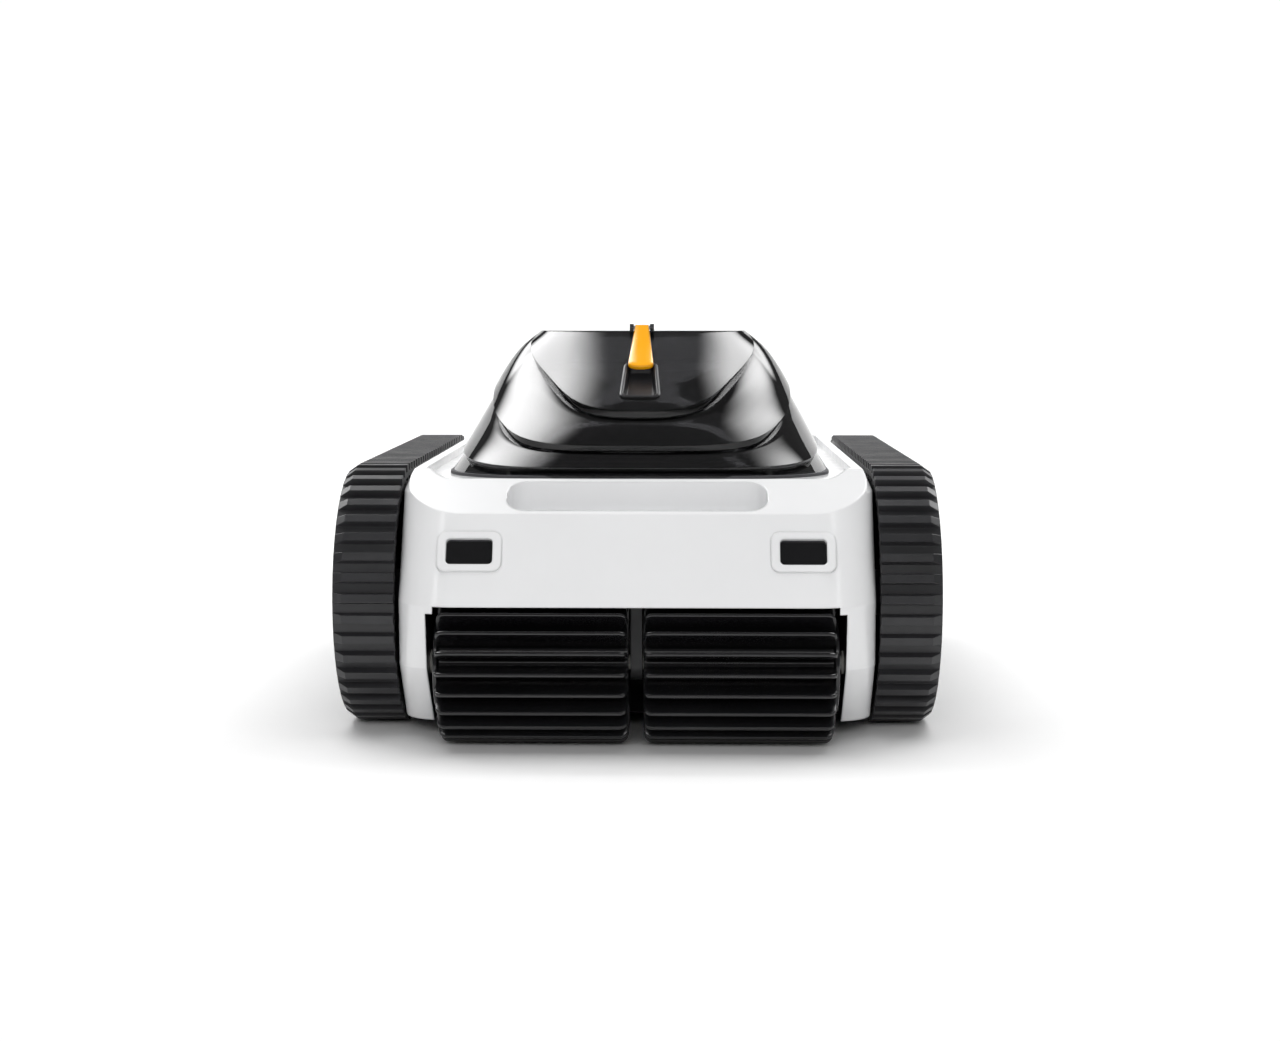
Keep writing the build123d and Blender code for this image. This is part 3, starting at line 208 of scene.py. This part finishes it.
white = moulded("white_shell", (0.86, 0.863, 0.87), 0.2, vary=0.012, height=0.000008, edge=0.0022,
                Coat_Weight=0.5, Coat_Roughness=0.05)
orange = moulded("orange", (1.0, 0.42, 0.0), 0.24, vary=0.03, height=0.00001, edge=0.0008, Coat_Weight=0.4)
rubber = moulded("track_rubber", (0.022, 0.022, 0.024), 0.38, vary=0.25, height=0.00004, edge=0.0007)
brush = moulded("brush_pvc", (0.008, 0.008, 0.009), 0.2, vary=0.2, height=0.000008, Coat_Weight=0.3)
black = moulded("black_plastic", (0.02, 0.02, 0.022), 0.34, vary=0.2, height=0.00005, edge=0.0008)
window = moulded("window_black", (0.006, 0.006, 0.007), 0.07, vary=0.1, height=0.000004, Coat_Weight=1.0)
net = woven("mesh", (0.10, 0.10, 0.11), (0.012, 0.012, 0.013))
acetal = moulded("gear_plastic", (0.62, 0.62, 0.58), 0.42, vary=0.05, edge=0.0003)
steel = metal("steel", (0.62, 0.62, 0.64), 0.3)
silicone = moulded("seal_rubber", (0.06, 0.06, 0.065), 0.6, vary=0.12, height=0.00004)
nylon = moulded("bush_plastic", (0.72, 0.71, 0.66), 0.45, vary=0.05)
wrap = moulded("battery_wrap", (0.03, 0.09, 0.26), 0.28, vary=0.12, grain=300.0, height=0.0001)
board = laminate("circuit_board", (0.012, 0.13, 0.05), (0.35, 0.2, 0.05))
grey = moulded("switch_body", (0.13, 0.13, 0.135), 0.45, vary=0.1)
lens = moulded("light_lens", (0.75, 0.82, 0.88), 0.5, vary=0.05, height=0.00003)
smoke = smoked("smoked_lid", (0.045, 0.045, 0.048), 0.02)

finishes = {m.name.split(".")[0]: m for m in (
    white, orange, rubber, brush, black, window, net, acetal, steel, silicone, nylon, wrap, board, grey, lens, smoke
)}
slot_of = {part["node"]: part["material_slot"] for part in frame["record"]["subparts"]}
for name, node in nodes.items():
    node.data.materials.clear()
    node.data.materials.append(finishes[slot_of[name]])


# ---------------------------------------------------------------- mesh helpers
def make_piece(name, points, faces, body, finish, sharp=32.0):
    """A mesh piece that rides on a body, smooth except at its sharp edges."""
    mesh = bpy.data.meshes.new(name)
    mesh.from_pydata([tuple(p) for p in points], [], faces)
    work = bmesh.new()
    work.from_mesh(mesh)
    bmesh.ops.remove_doubles(work, verts=work.verts, dist=0.00003)
    bmesh.ops.dissolve_degenerate(work, dist=0.00002, edges=work.edges)
    bmesh.ops.recalc_face_normals(work, faces=work.faces)
    work.to_mesh(mesh)
    work.free()
    mesh.polygons.foreach_set("use_smooth", [True] * len(mesh.polygons))
    mesh.set_sharp_from_angle(angle=math.radians(sharp))
    mesh.materials.append(finish)
    piece = bpy.data.objects.new(name, mesh)
    bpy.context.scene.collection.objects.link(piece)
    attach(piece, body)
    return piece


def rows_to_faces(rows, count, first_cap=False, last_cap=False):
    """Quads between rows of points that each close on themselves."""
    faces = []
    for row in range(rows - 1):
        for i in range(count):
            j = (i + 1) % count
            a, b = row * count, (row + 1) * count
            faces.append((a + i, a + j, b + j, b + i))
    if first_cap:
        faces.append(tuple(range(count)))
    if last_cap:
        faces.append(tuple((rows - 1) * count + i for i in range(count)))
    return faces


def turned(profile, y, z, steps):
    """Rings of points round a line along X, one for each (radius, x) of the profile."""
    turns = [2 * math.pi * i / steps for i in range(steps)]
    return [(x, y + radius * math.cos(a), z + radius * math.sin(a)) for radius, x in profile for a in turns]


# ---------------------------------------------------------------- brush rollers
FINS = 24
FIN_THICK = 0.0030
FIN_ROOT_ROUND = 0.0016
FIN_CORNER = 0.006  # the rounding of a fin's tip towards the roller's ends
FIN_CLEARANCE = 0.0001
ARC_STEPS = 4
ROLLER_CORE = 0.030
ROLLER_NEAR, ROLLER_FAR = 0.0052, 0.1318  # the roller's ends, from the middle of the cleaner
END_DEPTHS = [0.0, 0.0004, 0.0010, 0.0020, 0.0034, 0.0048, FIN_CORNER, 0.009]
END_SLIM, END_SLIM_DEPTH = 0.0006, 0.001
MIDDLE_INSET, MIDDLE_STATIONS = 0.02, 6
# the end flange, with a rounded edge and a recessed hub: radius, and depth beyond the roller's end
FLANGE = [(0.0060, 0.0), (0.0060, 0.0026), (0.0100, 0.0026), (0.0110, 0.0020), (0.0290, 0.0020), (0.0300, 0.0028),
          (0.0330, 0.0028), (0.0338, 0.0024), (0.0340, 0.0016), (0.0340, 0.0004), (0.0336, 0.0), (0.0060, 0.0)]
FLANGE_STEPS = 72


def roller_section(core, tip, fins, thick, root_round):
    """The outline of a finned roller, with rounded tips and roots, as (angle, radius) points."""
    half = thick / 2
    pitch = 2 * math.pi / fins
    quarter = [step / ARC_STEPS * math.pi / 2 for step in range(ARC_STEPS + 1)]
    flank = [(half + root_round * (1 - math.sin(turn)), core + root_round * (1 - math.cos(turn)))
             for turn in quarter[:-1]]
    flank += [(half, r) for r in np.linspace(core + root_round, tip - half, ARC_STEPS)]
    flank += [(half * math.cos(turn), tip - half + half * math.sin(turn)) for turn in quarter[1:]]
    right = [(math.atan2(w, r), math.hypot(w, r)) for w, r in flank]
    outline = []
    for fin in range(fins):
        middle = fin * pitch
        outline += [(middle - a, r) for a, r in right]
        outline += [(middle + a, r) for a, r in reversed(right[:-1])]
        outline.append((middle + pitch / 2, core))
    return outline


def make_roller(name, side):
    """One roller's fins and end flange. The side is -1 for left and 1 for right."""
    low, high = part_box(f"brush_{name}")
    y = (low.y + high.y) / 2
    z = (low.z + high.z) / 2
    tip = (high.z - low.z) / 2 - FIN_CLEARANCE
    section = roller_section(ROLLER_CORE, tip, FINS, FIN_THICK, FIN_ROOT_ROUND)
    stations = [ROLLER_NEAR + d for d in END_DEPTHS]
    stations += list(np.linspace(ROLLER_NEAR + MIDDLE_INSET, ROLLER_FAR - MIDDLE_INSET, MIDDLE_STATIONS))
    stations += [ROLLER_FAR - d for d in reversed(END_DEPTHS)]
    points = []
    for x in stations:
        inward = min(x - ROLLER_NEAR, ROLLER_FAR - x)
        drop = 0.0
        if inward < FIN_CORNER:
            drop = FIN_CORNER - math.sqrt(max(0.0, FIN_CORNER ** 2 - (FIN_CORNER - inward) ** 2))
        scale = (tip - drop - ROLLER_CORE) / (tip - ROLLER_CORE)
        slim = END_SLIM * max(0.0, 1.0 - inward / END_SLIM_DEPTH)
        for angle, radius in section:
            r = ROLLER_CORE + (radius - ROLLER_CORE) * scale
            if radius > ROLLER_CORE:
                r -= slim
            points.append((side * x, y + r * math.cos(angle), z + r * math.sin(angle)))
    faces = rows_to_faces(len(stations), len(section), True, True)
    roller = make_piece(f"roller_fins_{name}", points, faces, f"roller_{name}", brush, 40.0)
    ring = turned([(radius, side * (ROLLER_FAR + depth)) for radius, depth in FLANGE], y, z, FLANGE_STEPS)
    flange = make_piece(f"roller_flange_{name}", ring, rows_to_faces(len(FLANGE), FLANGE_STEPS),
                        f"roller_{name}", brush, 40.0)
    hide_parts(f"brush_{name}")
    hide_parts(f"brush_{name}")


for side_name, side_sign in (("left", -1), ("right", 1)):
    make_roller(side_name, side_sign)


# ---------------------------------------------------------------- smoked lid
def smooth_between(x, xs, ys):
    """A smooth curve through points, with no overshoot."""
    xs, ys = np.asarray(xs, float), np.asarray(ys, float)
    h = np.diff(xs)
    d = np.diff(ys) / h
    m = np.zeros(len(xs))
    m[0], m[-1] = d[0], d[-1]
    for i in range(1, len(xs) - 1):
        if d[i - 1] * d[i] > 0:
            w1, w2 = 2 * h[i] + h[i - 1], h[i] + 2 * h[i - 1]
            m[i] = (w1 + w2) / (w1 / d[i - 1] + w2 / d[i])
    i = int(np.clip(np.searchsorted(xs, x) - 1, 0, len(xs) - 2))
    t = (np.clip(x, xs[0], xs[-1]) - xs[i]) / h[i]
    return ((2 * t**3 - 3 * t**2 + 1) * ys[i] + (t**3 - 2 * t**2 + t) * h[i] * m[i]
            + (-2 * t**3 + 3 * t**2) * ys[i + 1] + (t**3 - t**2) * h[i] * m[i + 1])


# The dome at five heights: half its width, its front and rear ends, where it is widest, and how square it is in
# plan to the front and to the rear of there (2 is an ellipse).
BASE, TOP = 0.1780, 0.2760
LEVELS = [BASE, 0.2130, 0.2470, 0.2640, TOP]
HALF = [0.1360, 0.1230, 0.1060, 0.0935, 0.0790]
FRONT = [-0.1960, -0.1535, -0.0955, -0.0665, -0.0460]
REAR = [0.1300, 0.1260, 0.1080, 0.0920, 0.0700]
MIDDLE = [-0.0330, -0.0200, -0.0100, -0.0050, 0.0000]
FRONT_POWER = [4.8, 2.7, 2.25, 2.3, 2.5]
REAR_POWER = [4.8, 3.7, 3.2, 3.0, 3.2]
AROUND = 240
SETTLE_ROUNDS = 30
# The steps in the dome, each where a plane that rises to the rear cuts it: the plane's height, the y where it has
# that height, and its slope.
STEPS = [(0.1830, -0.1900, 0.0945), (0.1975, -0.1720, 0.2680), (0.2150, -0.1550, 0.4100)]
STEP_DEPTH = 0.0042
STEP_RISER = 0.0012
STEP_LIP = 0.00035
THIN_BAND = 0.004  # a band lower than this has a lower riser
STEP_END_Y, STEP_END_FADE = 0.045, 0.06
RIDGE_MARGIN, RIDGE_FADE = 0.001, 0.010
BAND_SHARES = [0.0, 0.012, 0.05, 0.15, 0.3, 0.45, 0.6, 0.75, 0.88]
TOP_MIDDLE_Y = 0.012
TOP_RINGS = [(0.993, 0.0002), (0.975, 0.0), (0.8, 0.0), (0.55, 0.0), (0.25, 0.0)]  # size, and drop below the top
LID_WALL = 0.0028
LID_SHARP = 38.0


def dome_point(angle, z):
    """The point of the dome's outside at a height, in a direction given by an angle from the front."""
    half = smooth_between(z, LEVELS, HALF)
    middle = smooth_between(z, LEVELS, MIDDLE)
    if math.cos(angle) >= 0:
        reach = middle - smooth_between(z, LEVELS, FRONT)
        power = smooth_between(z, LEVELS, FRONT_POWER)
        way = -1.0
    else:
        reach = smooth_between(z, LEVELS, REAR) - middle
        power = smooth_between(z, LEVELS, REAR_POWER)
        way = 1.0
    s, c = math.sin(angle), abs(math.cos(angle))
    x = half * math.copysign(abs(s) ** (2 / power), s)
    y = middle + way * reach * c ** (2 / power)
    return x, y


def dome_on_plane(angle, z_front, y_front, slope):
    """How high the dome is, in a direction, where a plane that rises to the rear cuts it."""
    z = z_front
    for _ in range(SETTLE_ROUNDS):
        _, y = dome_point(angle, z)
        z += 0.5 * (min(TOP, max(BASE, z_front + (y - y_front) * slope)) - z)
    return z


def normal_at(angle, z):
    """The outward direction of the dome, from points close by."""
    near_height, near_turn, rise = 0.0006, 0.004, 0.02
    x0, y0 = dome_point(angle, z)
    x1, y1 = dome_point(angle + near_turn, z)
    lower = max(BASE, z - near_height)
    upper = min(TOP, z + near_height)
    xa, ya = dome_point(angle, lower)
    xb, yb = dome_point(angle, upper)
    along = Vector((x1 - x0, y1 - y0, 0))
    up = Vector((xb - xa, yb - ya, upper - lower))
    n = along.cross(up)
    if n.length < 1e-12:
        return Vector((0, 0, 1))
    n.normalize()
    return n if n.x * x0 + n.y * y0 + n.z * rise > 0 else -n


def dome_row(heights, insets):
    """A row of points round the dome, each at its height and set in by its inset."""
    row = []
    for a, z, inset in zip(angles, heights, insets):
        x, y = dome_point(a, z)
        n = normal_at(a, z)
        row.append((x - n.x * inset, y - n.y * inset, z - n.z * inset))
    return row


def fade(heights):
    """How deep a step is round the dome: full at the front, gone at the back and at the ridge."""
    result = []
    for a, z in zip(angles, heights):
        y = dome_point(a, z)[1]
        back = min(1.0, max(0.0, (STEP_END_Y - y) / STEP_END_FADE))
        top = min(1.0, max(0.0, (TOP - RIDGE_MARGIN - z) / RIDGE_FADE))
        result.append(back * back * (3 - 2 * back) * top)
    return np.array(result)


angles = [2 * math.pi * i / AROUND for i in range(AROUND)]
cuts = [np.full(AROUND, BASE)]
for step_plane in STEPS:
    cuts.append(np.array([dome_on_plane(a, *step_plane) for a in angles]))
cuts.append(np.full(AROUND, TOP))

flush = np.zeros(AROUND)
rows = []
for band, (lower, upper) in enumerate(zip(cuts, cuts[1:])):
    stepped = band < len(STEPS)
    inset = fade(upper) * STEP_DEPTH if stepped else flush
    rows += [dome_row(lower + (upper - lower) * share, inset * share * 0.9) for share in BAND_SHARES]
    if stepped:
        fullness = np.minimum(1.0, (upper - lower) / THIN_BAND)
        riser_foot = np.maximum(lower, upper - STEP_RISER * fullness)
        rows.append(dome_row(lower + (riser_foot - lower) * 0.985, inset * 0.96))
        rows.append(dome_row(riser_foot, inset))
        rows.append(dome_row(upper - STEP_LIP * fullness, inset * 0.25))
    else:
        rows += [dome_row(lower + (upper - lower) * share, flush) for share in (0.95, 0.985)]
top_ring = [dome_point(a, TOP) for a in angles]
for size, drop in TOP_RINGS:
    rows.append([(x * size, TOP_MIDDLE_Y + (y - TOP_MIDDLE_Y) * size, TOP - drop) for x, y in top_ring])
dome_points = [p for row in rows for p in row]
dome = make_piece("lid_dome", dome_points, rows_to_faces(len(rows), AROUND, False, True), "lid", smoke, LID_SHARP)
dome_wall = dome.modifiers.new("wall", "SOLIDIFY")
dome_wall.thickness = LID_WALL
dome_wall.offset = -1.0
dome_wall.use_even_offset = False
dome_wall.use_rim = True

# a frame on the visor at the ridge: along it downwards, and out of it
SLOPE = math.radians(30.5)
RIDGE = Vector((0.0, FRONT[-1], TOP))
DOWN = Vector((0.0, -math.cos(SLOPE), -math.sin(SLOPE)))
OUT = Vector((0.0, -math.sin(SLOPE), math.cos(SLOPE)))


def on_visor(x, down, out):
    """A place given in the visor's frame."""
    return RIDGE + Vector((x, 0, 0)) + DOWN * down + OUT * out


def trapezoid(top_half, end_half, start, end, corner, steps=6):
    """A rounded trapezoid on the visor: (x, down) points."""
    corners = [(-top_half, start), (top_half, start), (end_half, end), (-end_half, end)]
    outline = []
    for i, p in enumerate(corners):
        before, after = Vector(corners[i - 1]), Vector(corners[(i + 1) % 4])
        p = Vector(p)
        a = p + (before - p).normalized() * corner
        b = p + (after - p).normalized() * corner
        for k in range(steps + 1):
            t = k / steps
            outline.append(a * (1 - t) ** 2 + p * (2 * t * (1 - t)) + b * t ** 2)
    return outline


def stack(name, layers, body, finish, caps=(True, True), sharp=LID_SHARP):
    """A piece made of outlines at heights over the visor."""
    points = []
    for outline, out in layers:
        points += [on_visor(x, down, out) for x, down in outline]
    return make_piece(name, points, rows_to_faces(len(layers), len(layers[0][0]), *caps), body, finish, sharp)


# the finger pocket: a hole through the dome, and a cup with a fine rim in it
POCKET_START, POCKET_END = 0.0485, 0.0920  # down the visor from the ridge
POCKET_TOP_HALF, POCKET_END_HALF = 0.0103, 0.0130
POCKET_CORNER = 0.004
CUTTER_REACH = 0.010
# the cup from its lower flange, over its rim and down to its floor: growth, corner, and height over the visor
CUP = [(0.0012, 0.0050, -0.0010), (0.0012, 0.0050, 0.0003), (0.0008, 0.0048, 0.0007), (0.0000, 0.0042, 0.0007),
       (-0.0005, 0.0040, 0.0002), (-0.0012, 0.0038, -0.0050), (-0.0022, 0.0034, -0.0066), (-0.0040, 0.0024, -0.0070)]
CUP_WALL = 0.0008


def pocket_outline(grow, corner):
    """The pocket's outline, grown on all sides."""
    return trapezoid(POCKET_TOP_HALF + grow, POCKET_END_HALF + grow, POCKET_START - grow, POCKET_END + grow, corner)


cutter = stack("pocket_cutter", [(pocket_outline(0.0, POCKET_CORNER), out) for out in (-CUTTER_REACH, CUTTER_REACH)],
               "lid", smoke)
pocket = dome.modifiers.new("pocket", "BOOLEAN")
pocket.operation = "DIFFERENCE"
pocket.object = cutter
pocket.solver = "EXACT"
bpy.context.view_layer.update()
cut_mesh = bpy.data.meshes.new_from_object(dome.evaluated_get(bpy.context.evaluated_depsgraph_get()))
dome.modifiers.clear()
dome.data = cut_mesh
dome.data.polygons.foreach_set("use_smooth", [True] * len(dome.data.polygons))
dome.data.set_sharp_from_angle(angle=math.radians(LID_SHARP))
bpy.data.objects.remove(cutter)

cup = stack("finger_cup", [(pocket_outline(grow, corner), out) for grow, corner, out in CUP],
            "lid", black, (False, True))
cup_wall = cup.modifiers.new("wall", "SOLIDIFY")
cup_wall.thickness = CUP_WALL
cup_wall.offset = 1.0

# the tab's two ears, narrower towards their tops
EAR_INNER, EAR_THICK = 0.00615, 0.003
EAR_LAYERS = [(0.0025, -0.0025), (0.0025, 0.0028), (0.0022, 0.0042), (0.0016, 0.0049)]  # half length, height
for ear_side in (-1, 1):
    ear = [
        ([(ear_side * (EAR_INNER + w), d) for w, d in ((0.0, -h), (EAR_THICK, -h), (EAR_THICK, h), (0.0, h))], out)
        for h, out in EAR_LAYERS
    ]
    piece = stack(f"tab_ear_{'left' if ear_side < 0 else 'right'}", ear, "lid", smoke)
    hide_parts("lid")

# the hinge knuckles behind, each on a strap from the dome
KNUCKLE_ENDS = (0.060, 0.090)
KNUCKLE_OUTER, KNUCKLE_INNER = 0.0055, 0.00305
KNUCKLE_EDGE = 0.0004
KNUCKLE_STEPS = 40
STRAP = [(0.1255, 0.1782), (0.1330, 0.1782), (0.1340, 0.1800), (0.1340, 0.1842), (0.1330, 0.1852), (0.1255, 0.1880)]
STRAP_INSET = 0.0003
pin_low, pin_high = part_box("lid_hinge_pins")
hinge_y = (pin_low.y + pin_high.y) / 2
hinge_z = (pin_low.z + pin_high.z) / 2
for sign, side_name in ((-1, "left"), (1, "right")):
    x0, x1 = sorted(sign * end for end in KNUCKLE_ENDS)
    tube = [(KNUCKLE_INNER, x0), (KNUCKLE_OUTER - KNUCKLE_EDGE, x0), (KNUCKLE_OUTER, x0 + KNUCKLE_EDGE),
            (KNUCKLE_OUTER, x1 - KNUCKLE_EDGE), (KNUCKLE_OUTER - KNUCKLE_EDGE, x1), (KNUCKLE_INNER, x1),
            (KNUCKLE_INNER, x0)]
    knuckle = make_piece(f"lid_knuckle_{side_name}", turned(tube, hinge_y, hinge_z, KNUCKLE_STEPS),
                         rows_to_faces(len(tube), KNUCKLE_STEPS), "lid", smoke)
    strap_points = [(x, y, z) for x in (x0 + STRAP_INSET, x1 - STRAP_INSET) for y, z in STRAP]
    strap = make_piece(f"lid_strap_{side_name}", strap_points, rows_to_faces(2, len(STRAP), True, True), "lid", smoke)
    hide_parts("lid")
    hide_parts("lid")
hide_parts("lid")
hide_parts("lid")

# the orange tab: a crowned strip, wider down the visor, with a rounded end
TAB_TOP_HALF, TAB_END_HALF = 0.00515, 0.0093
TAB_START, TAB_END, TAB_NOSE = -0.002, 0.0525, 0.0045
TAB_LAYERS = [(-0.0006, 0.0006), (0.0, 0.0012), (0.0, 0.0034), (-0.0004, 0.0042), (-0.0014, 0.0046)]  # growth, height
TAB_STEPS = 10
tab_layers = []
for grow, out in TAB_LAYERS:
    top, end = TAB_TOP_HALF + grow, TAB_END_HALF + grow
    outline = [(-top, TAB_START - grow), (top, TAB_START - grow), (end, TAB_END + grow)]
    for k in range(1, TAB_STEPS):
        a = math.pi * k / TAB_STEPS
        outline.append((end * math.cos(a), TAB_END + (TAB_NOSE + grow) * math.sin(a)))
    outline.append((-end, TAB_END + grow))
    tab_layers.append((outline, out))
tab = stack("tab_strip", tab_layers, "lift_tab", orange, sharp=50.0)
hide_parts("lift_tab")

# ---------------------------------------------------------------- side covers
COVER_STEPS = 28
# the cover's face from its edge to the middle of its sunk panel, after the round of its edge: radius, and depth
# below the face
COVER_FACE = [(0.0580, 0.0), (0.0572, 0.0003), (0.0562, 0.0012), (0.0552, 0.0015), (0.0330, 0.0015),
              (0.0322, 0.0012), (0.0312, 0.0006), (0.0302, 0.0005)]
COVER_EDGE = [(0.0, 0.0012), (0.0004, 0.0004), (0.0012, 0.0)]  # inset, and depth below the face


def stadium(radius, front_y, rear_y, z):
    """A loop of points round both axles."""
    loop = []
    for k in range(COVER_STEPS + 1):
        a = math.pi / 2 + math.pi * k / COVER_STEPS
        loop.append((front_y + radius * math.cos(a), z + radius * math.sin(a)))
    for k in range(COVER_STEPS + 1):
        a = -math.pi / 2 + math.pi * k / COVER_STEPS
        loop.append((rear_y + radius * math.cos(a), z + radius * math.sin(a)))
    return loop


def make_cover(name, side):
    """One side cover: a plate with a rounded edge and a sunk panel. The side is -1 for left and 1 for right."""
    low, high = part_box(f"side_cover_{name}")
    z = (low.z + high.z) / 2
    outer = (high.z - low.z) / 2
    front_y, rear_y = low.y + outer, high.y - outer
    inner_x, face_x = sorted((abs(low.x), abs(high.x)))
    section = [(outer, inner_x)]
    section += [(outer - inset, face_x - depth) for inset, depth in COVER_EDGE]
    section += [(radius, face_x - depth) for radius, depth in COVER_FACE]
    loops = [[(side * x, y, h) for y, h in stadium(radius, front_y, rear_y, z)] for radius, x in section]
    points = [p for loop in loops for p in loop]
    faces = rows_to_faces(len(loops), len(loops[0]), True, True)
    cover = make_piece(f"cover_plate_{name}", points, faces, "chassis", black)
    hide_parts(f"side_cover_{name}")


for side_name, side_sign in (("left", -1), ("right", 1)):
    make_cover(side_name, side_sign)

# ---------------------------------------------------------------- floor, lamps and camera
FLOOR_FRONT, FLOOR_REAR = -6.0, 2.2
FLOOR_HALF_WIDTH = 7.0
SWEEP_RADIUS, SWEEP_STEPS = 1.4, 12
WALL_Y, WALL_TOP = 3.6, 1.75
floor_line = [(FLOOR_FRONT, 0.0), (FLOOR_REAR, 0.0)]
for step in range(1, SWEEP_STEPS + 1):
    a = math.pi / 2 * step / SWEEP_STEPS
    floor_line.append((FLOOR_REAR + SWEEP_RADIUS * math.sin(a), SWEEP_RADIUS * (1 - math.cos(a))))
floor_line.append((WALL_Y, WALL_TOP))
floor_points = [(x, y, z) for y, z in floor_line for x in (-FLOOR_HALF_WIDTH, FLOOR_HALF_WIDTH)]
floor_faces = [(2 * i, 2 * i + 1, 2 * i + 3, 2 * i + 2) for i in range(len(floor_line) - 1)]
floor_mesh = bpy.data.meshes.new("studio_floor")
floor_mesh.from_pydata(floor_points, [], floor_faces)
floor_mesh.polygons.foreach_set("use_smooth", [True] * len(floor_mesh.polygons))
floor = bpy.data.objects.new("studio_floor", floor_mesh)
bpy.context.scene.collection.objects.link(floor)
paper = moulded("studio_paper", (0.97, 0.97, 0.97), 0.75, vary=0.004, grain=500.0, height=0.00001)
floor_mesh.materials.append(paper)


def lamp(name, place, aim, size, power, size_y, glossy=True):
    """An area lamp at a place, turned to what it aims at."""
    data = bpy.data.lights.new(name, "AREA")
    data.energy = power
    data.shape = "RECTANGLE"
    data.size = size
    data.size_y = size_y
    light = bpy.data.objects.new(name, data)
    light.location = place
    light.rotation_euler = (Vector(aim) - Vector(place)).to_track_quat("-Z", "Y").to_euler()
    light.visible_glossy = glossy
    bpy.context.scene.collection.objects.link(light)


lamp("overhead", (0.0, 0.1, 2.4), (0.0, 0.0, 0.0), 2.6, 45.0, 2.6, glossy=False)
lamp("front_fill", (0.0, -2.9, 1.3), (0.0, 0.0, 0.1), 2.6, 25.0, 0.8, glossy=False)
lamp("left_strip", (-1.7, -1.5, 1.1), (0.0, 0.0, 0.1), 0.25, 2.6, 1.6)
lamp("right_strip", (1.7, -1.5, 1.1), (0.0, 0.0, 0.1), 0.25, 2.6, 1.6)
lamp("front_strip", (0.0, -2.3, 1.5), (0.0, 0.0, 0.1), 2.6, 5.0, 0.12)
lamp("backdrop", (0.0, 1.2, 2.6), (0.0, 3.6, 0.6), 5.0, 90.0, 0.6, glossy=False)

# A dim studio with soft boxes overhead and behind the object, to its left and right: the direction, the cosines
# where each is full and where it ends, and its strength.
SOFT_BOXES = [
    ((-0.50, 0.50, 0.72), 0.980, 0.905, 8.0),
    ((0.52, 0.46, 0.72), 0.980, 0.915, 7.0),
    ((-0.42, -0.05, 1.0), 0.990, 0.955, 1.4),
    ((0.46, -0.05, 1.0), 0.990, 0.960, 1.4),
]
SHARE_AS_LAMP = 0.12  # of a box's strength in reflections
STUDIO_LEVEL = 0.09
world = bpy.data.worlds.new("studio")
bpy.context.scene.world = world
world.use_nodes = True
tree = world.node_tree
background = tree.nodes["Background"]
place = tree.nodes.new("ShaderNodeTexCoord").outputs["Generated"]
total = None
for direction, inner, outer, strength in SOFT_BOXES:
    dot = tree.nodes.new("ShaderNodeVectorMath")
    dot.operation = "DOT_PRODUCT"
    dot.inputs[1].default_value = Vector(direction).normalized()
    tree.links.new(place, dot.inputs[0])
    soft = tree.nodes.new("ShaderNodeMapRange")
    soft.interpolation_type = "SMOOTHSTEP"
    soft.inputs["From Min"].default_value = outer
    soft.inputs["From Max"].default_value = inner
    soft.inputs["To Max"].default_value = strength
    tree.links.new(dot.outputs["Value"], soft.inputs["Value"])
    if total is None:
        total = soft.outputs["Result"]
    else:
        join = tree.nodes.new("ShaderNodeMath")
        tree.links.new(total, join.inputs[0])
        tree.links.new(soft.outputs["Result"], join.inputs[1])
        total = join.outputs["Value"]
path = tree.nodes.new("ShaderNodeLightPath")
share = tree.nodes.new("ShaderNodeMapRange")
share.inputs["To Min"].default_value = SHARE_AS_LAMP
tree.links.new(path.outputs["Is Glossy Ray"], share.inputs["Value"])
boxes = tree.nodes.new("ShaderNodeMath")
boxes.operation = "MULTIPLY"
tree.links.new(total, boxes.inputs[0])
tree.links.new(share.outputs["Result"], boxes.inputs[1])
level = tree.nodes.new("ShaderNodeMath")
level.inputs[1].default_value = STUDIO_LEVEL
tree.links.new(boxes.outputs["Value"], level.inputs[0])
tree.links.new(level.outputs["Value"], background.inputs["Strength"])
background.inputs["Color"].default_value = (1.0, 1.0, 1.0, 1.0)

# the photo's camera, as fitted to the two tracks
CAMERA_PLACE = (0.0287, -1.5634, 0.2876)
CAMERA_PITCH, CAMERA_YAW = math.radians(84.14), math.radians(1.14)
camera_data = bpy.data.cameras.new("camera")
camera_data.lens = 56.25
camera_data.sensor_width = 36.0
camera_data.clip_end = 50.0
camera = bpy.data.objects.new("camera", camera_data)
camera.location = CAMERA_PLACE
camera.rotation_euler = (CAMERA_PITCH, 0.0, CAMERA_YAW)
bpy.context.scene.collection.objects.link(camera)
bpy.context.scene.camera = camera
bpy.context.scene.view_settings.view_transform = "Standard"
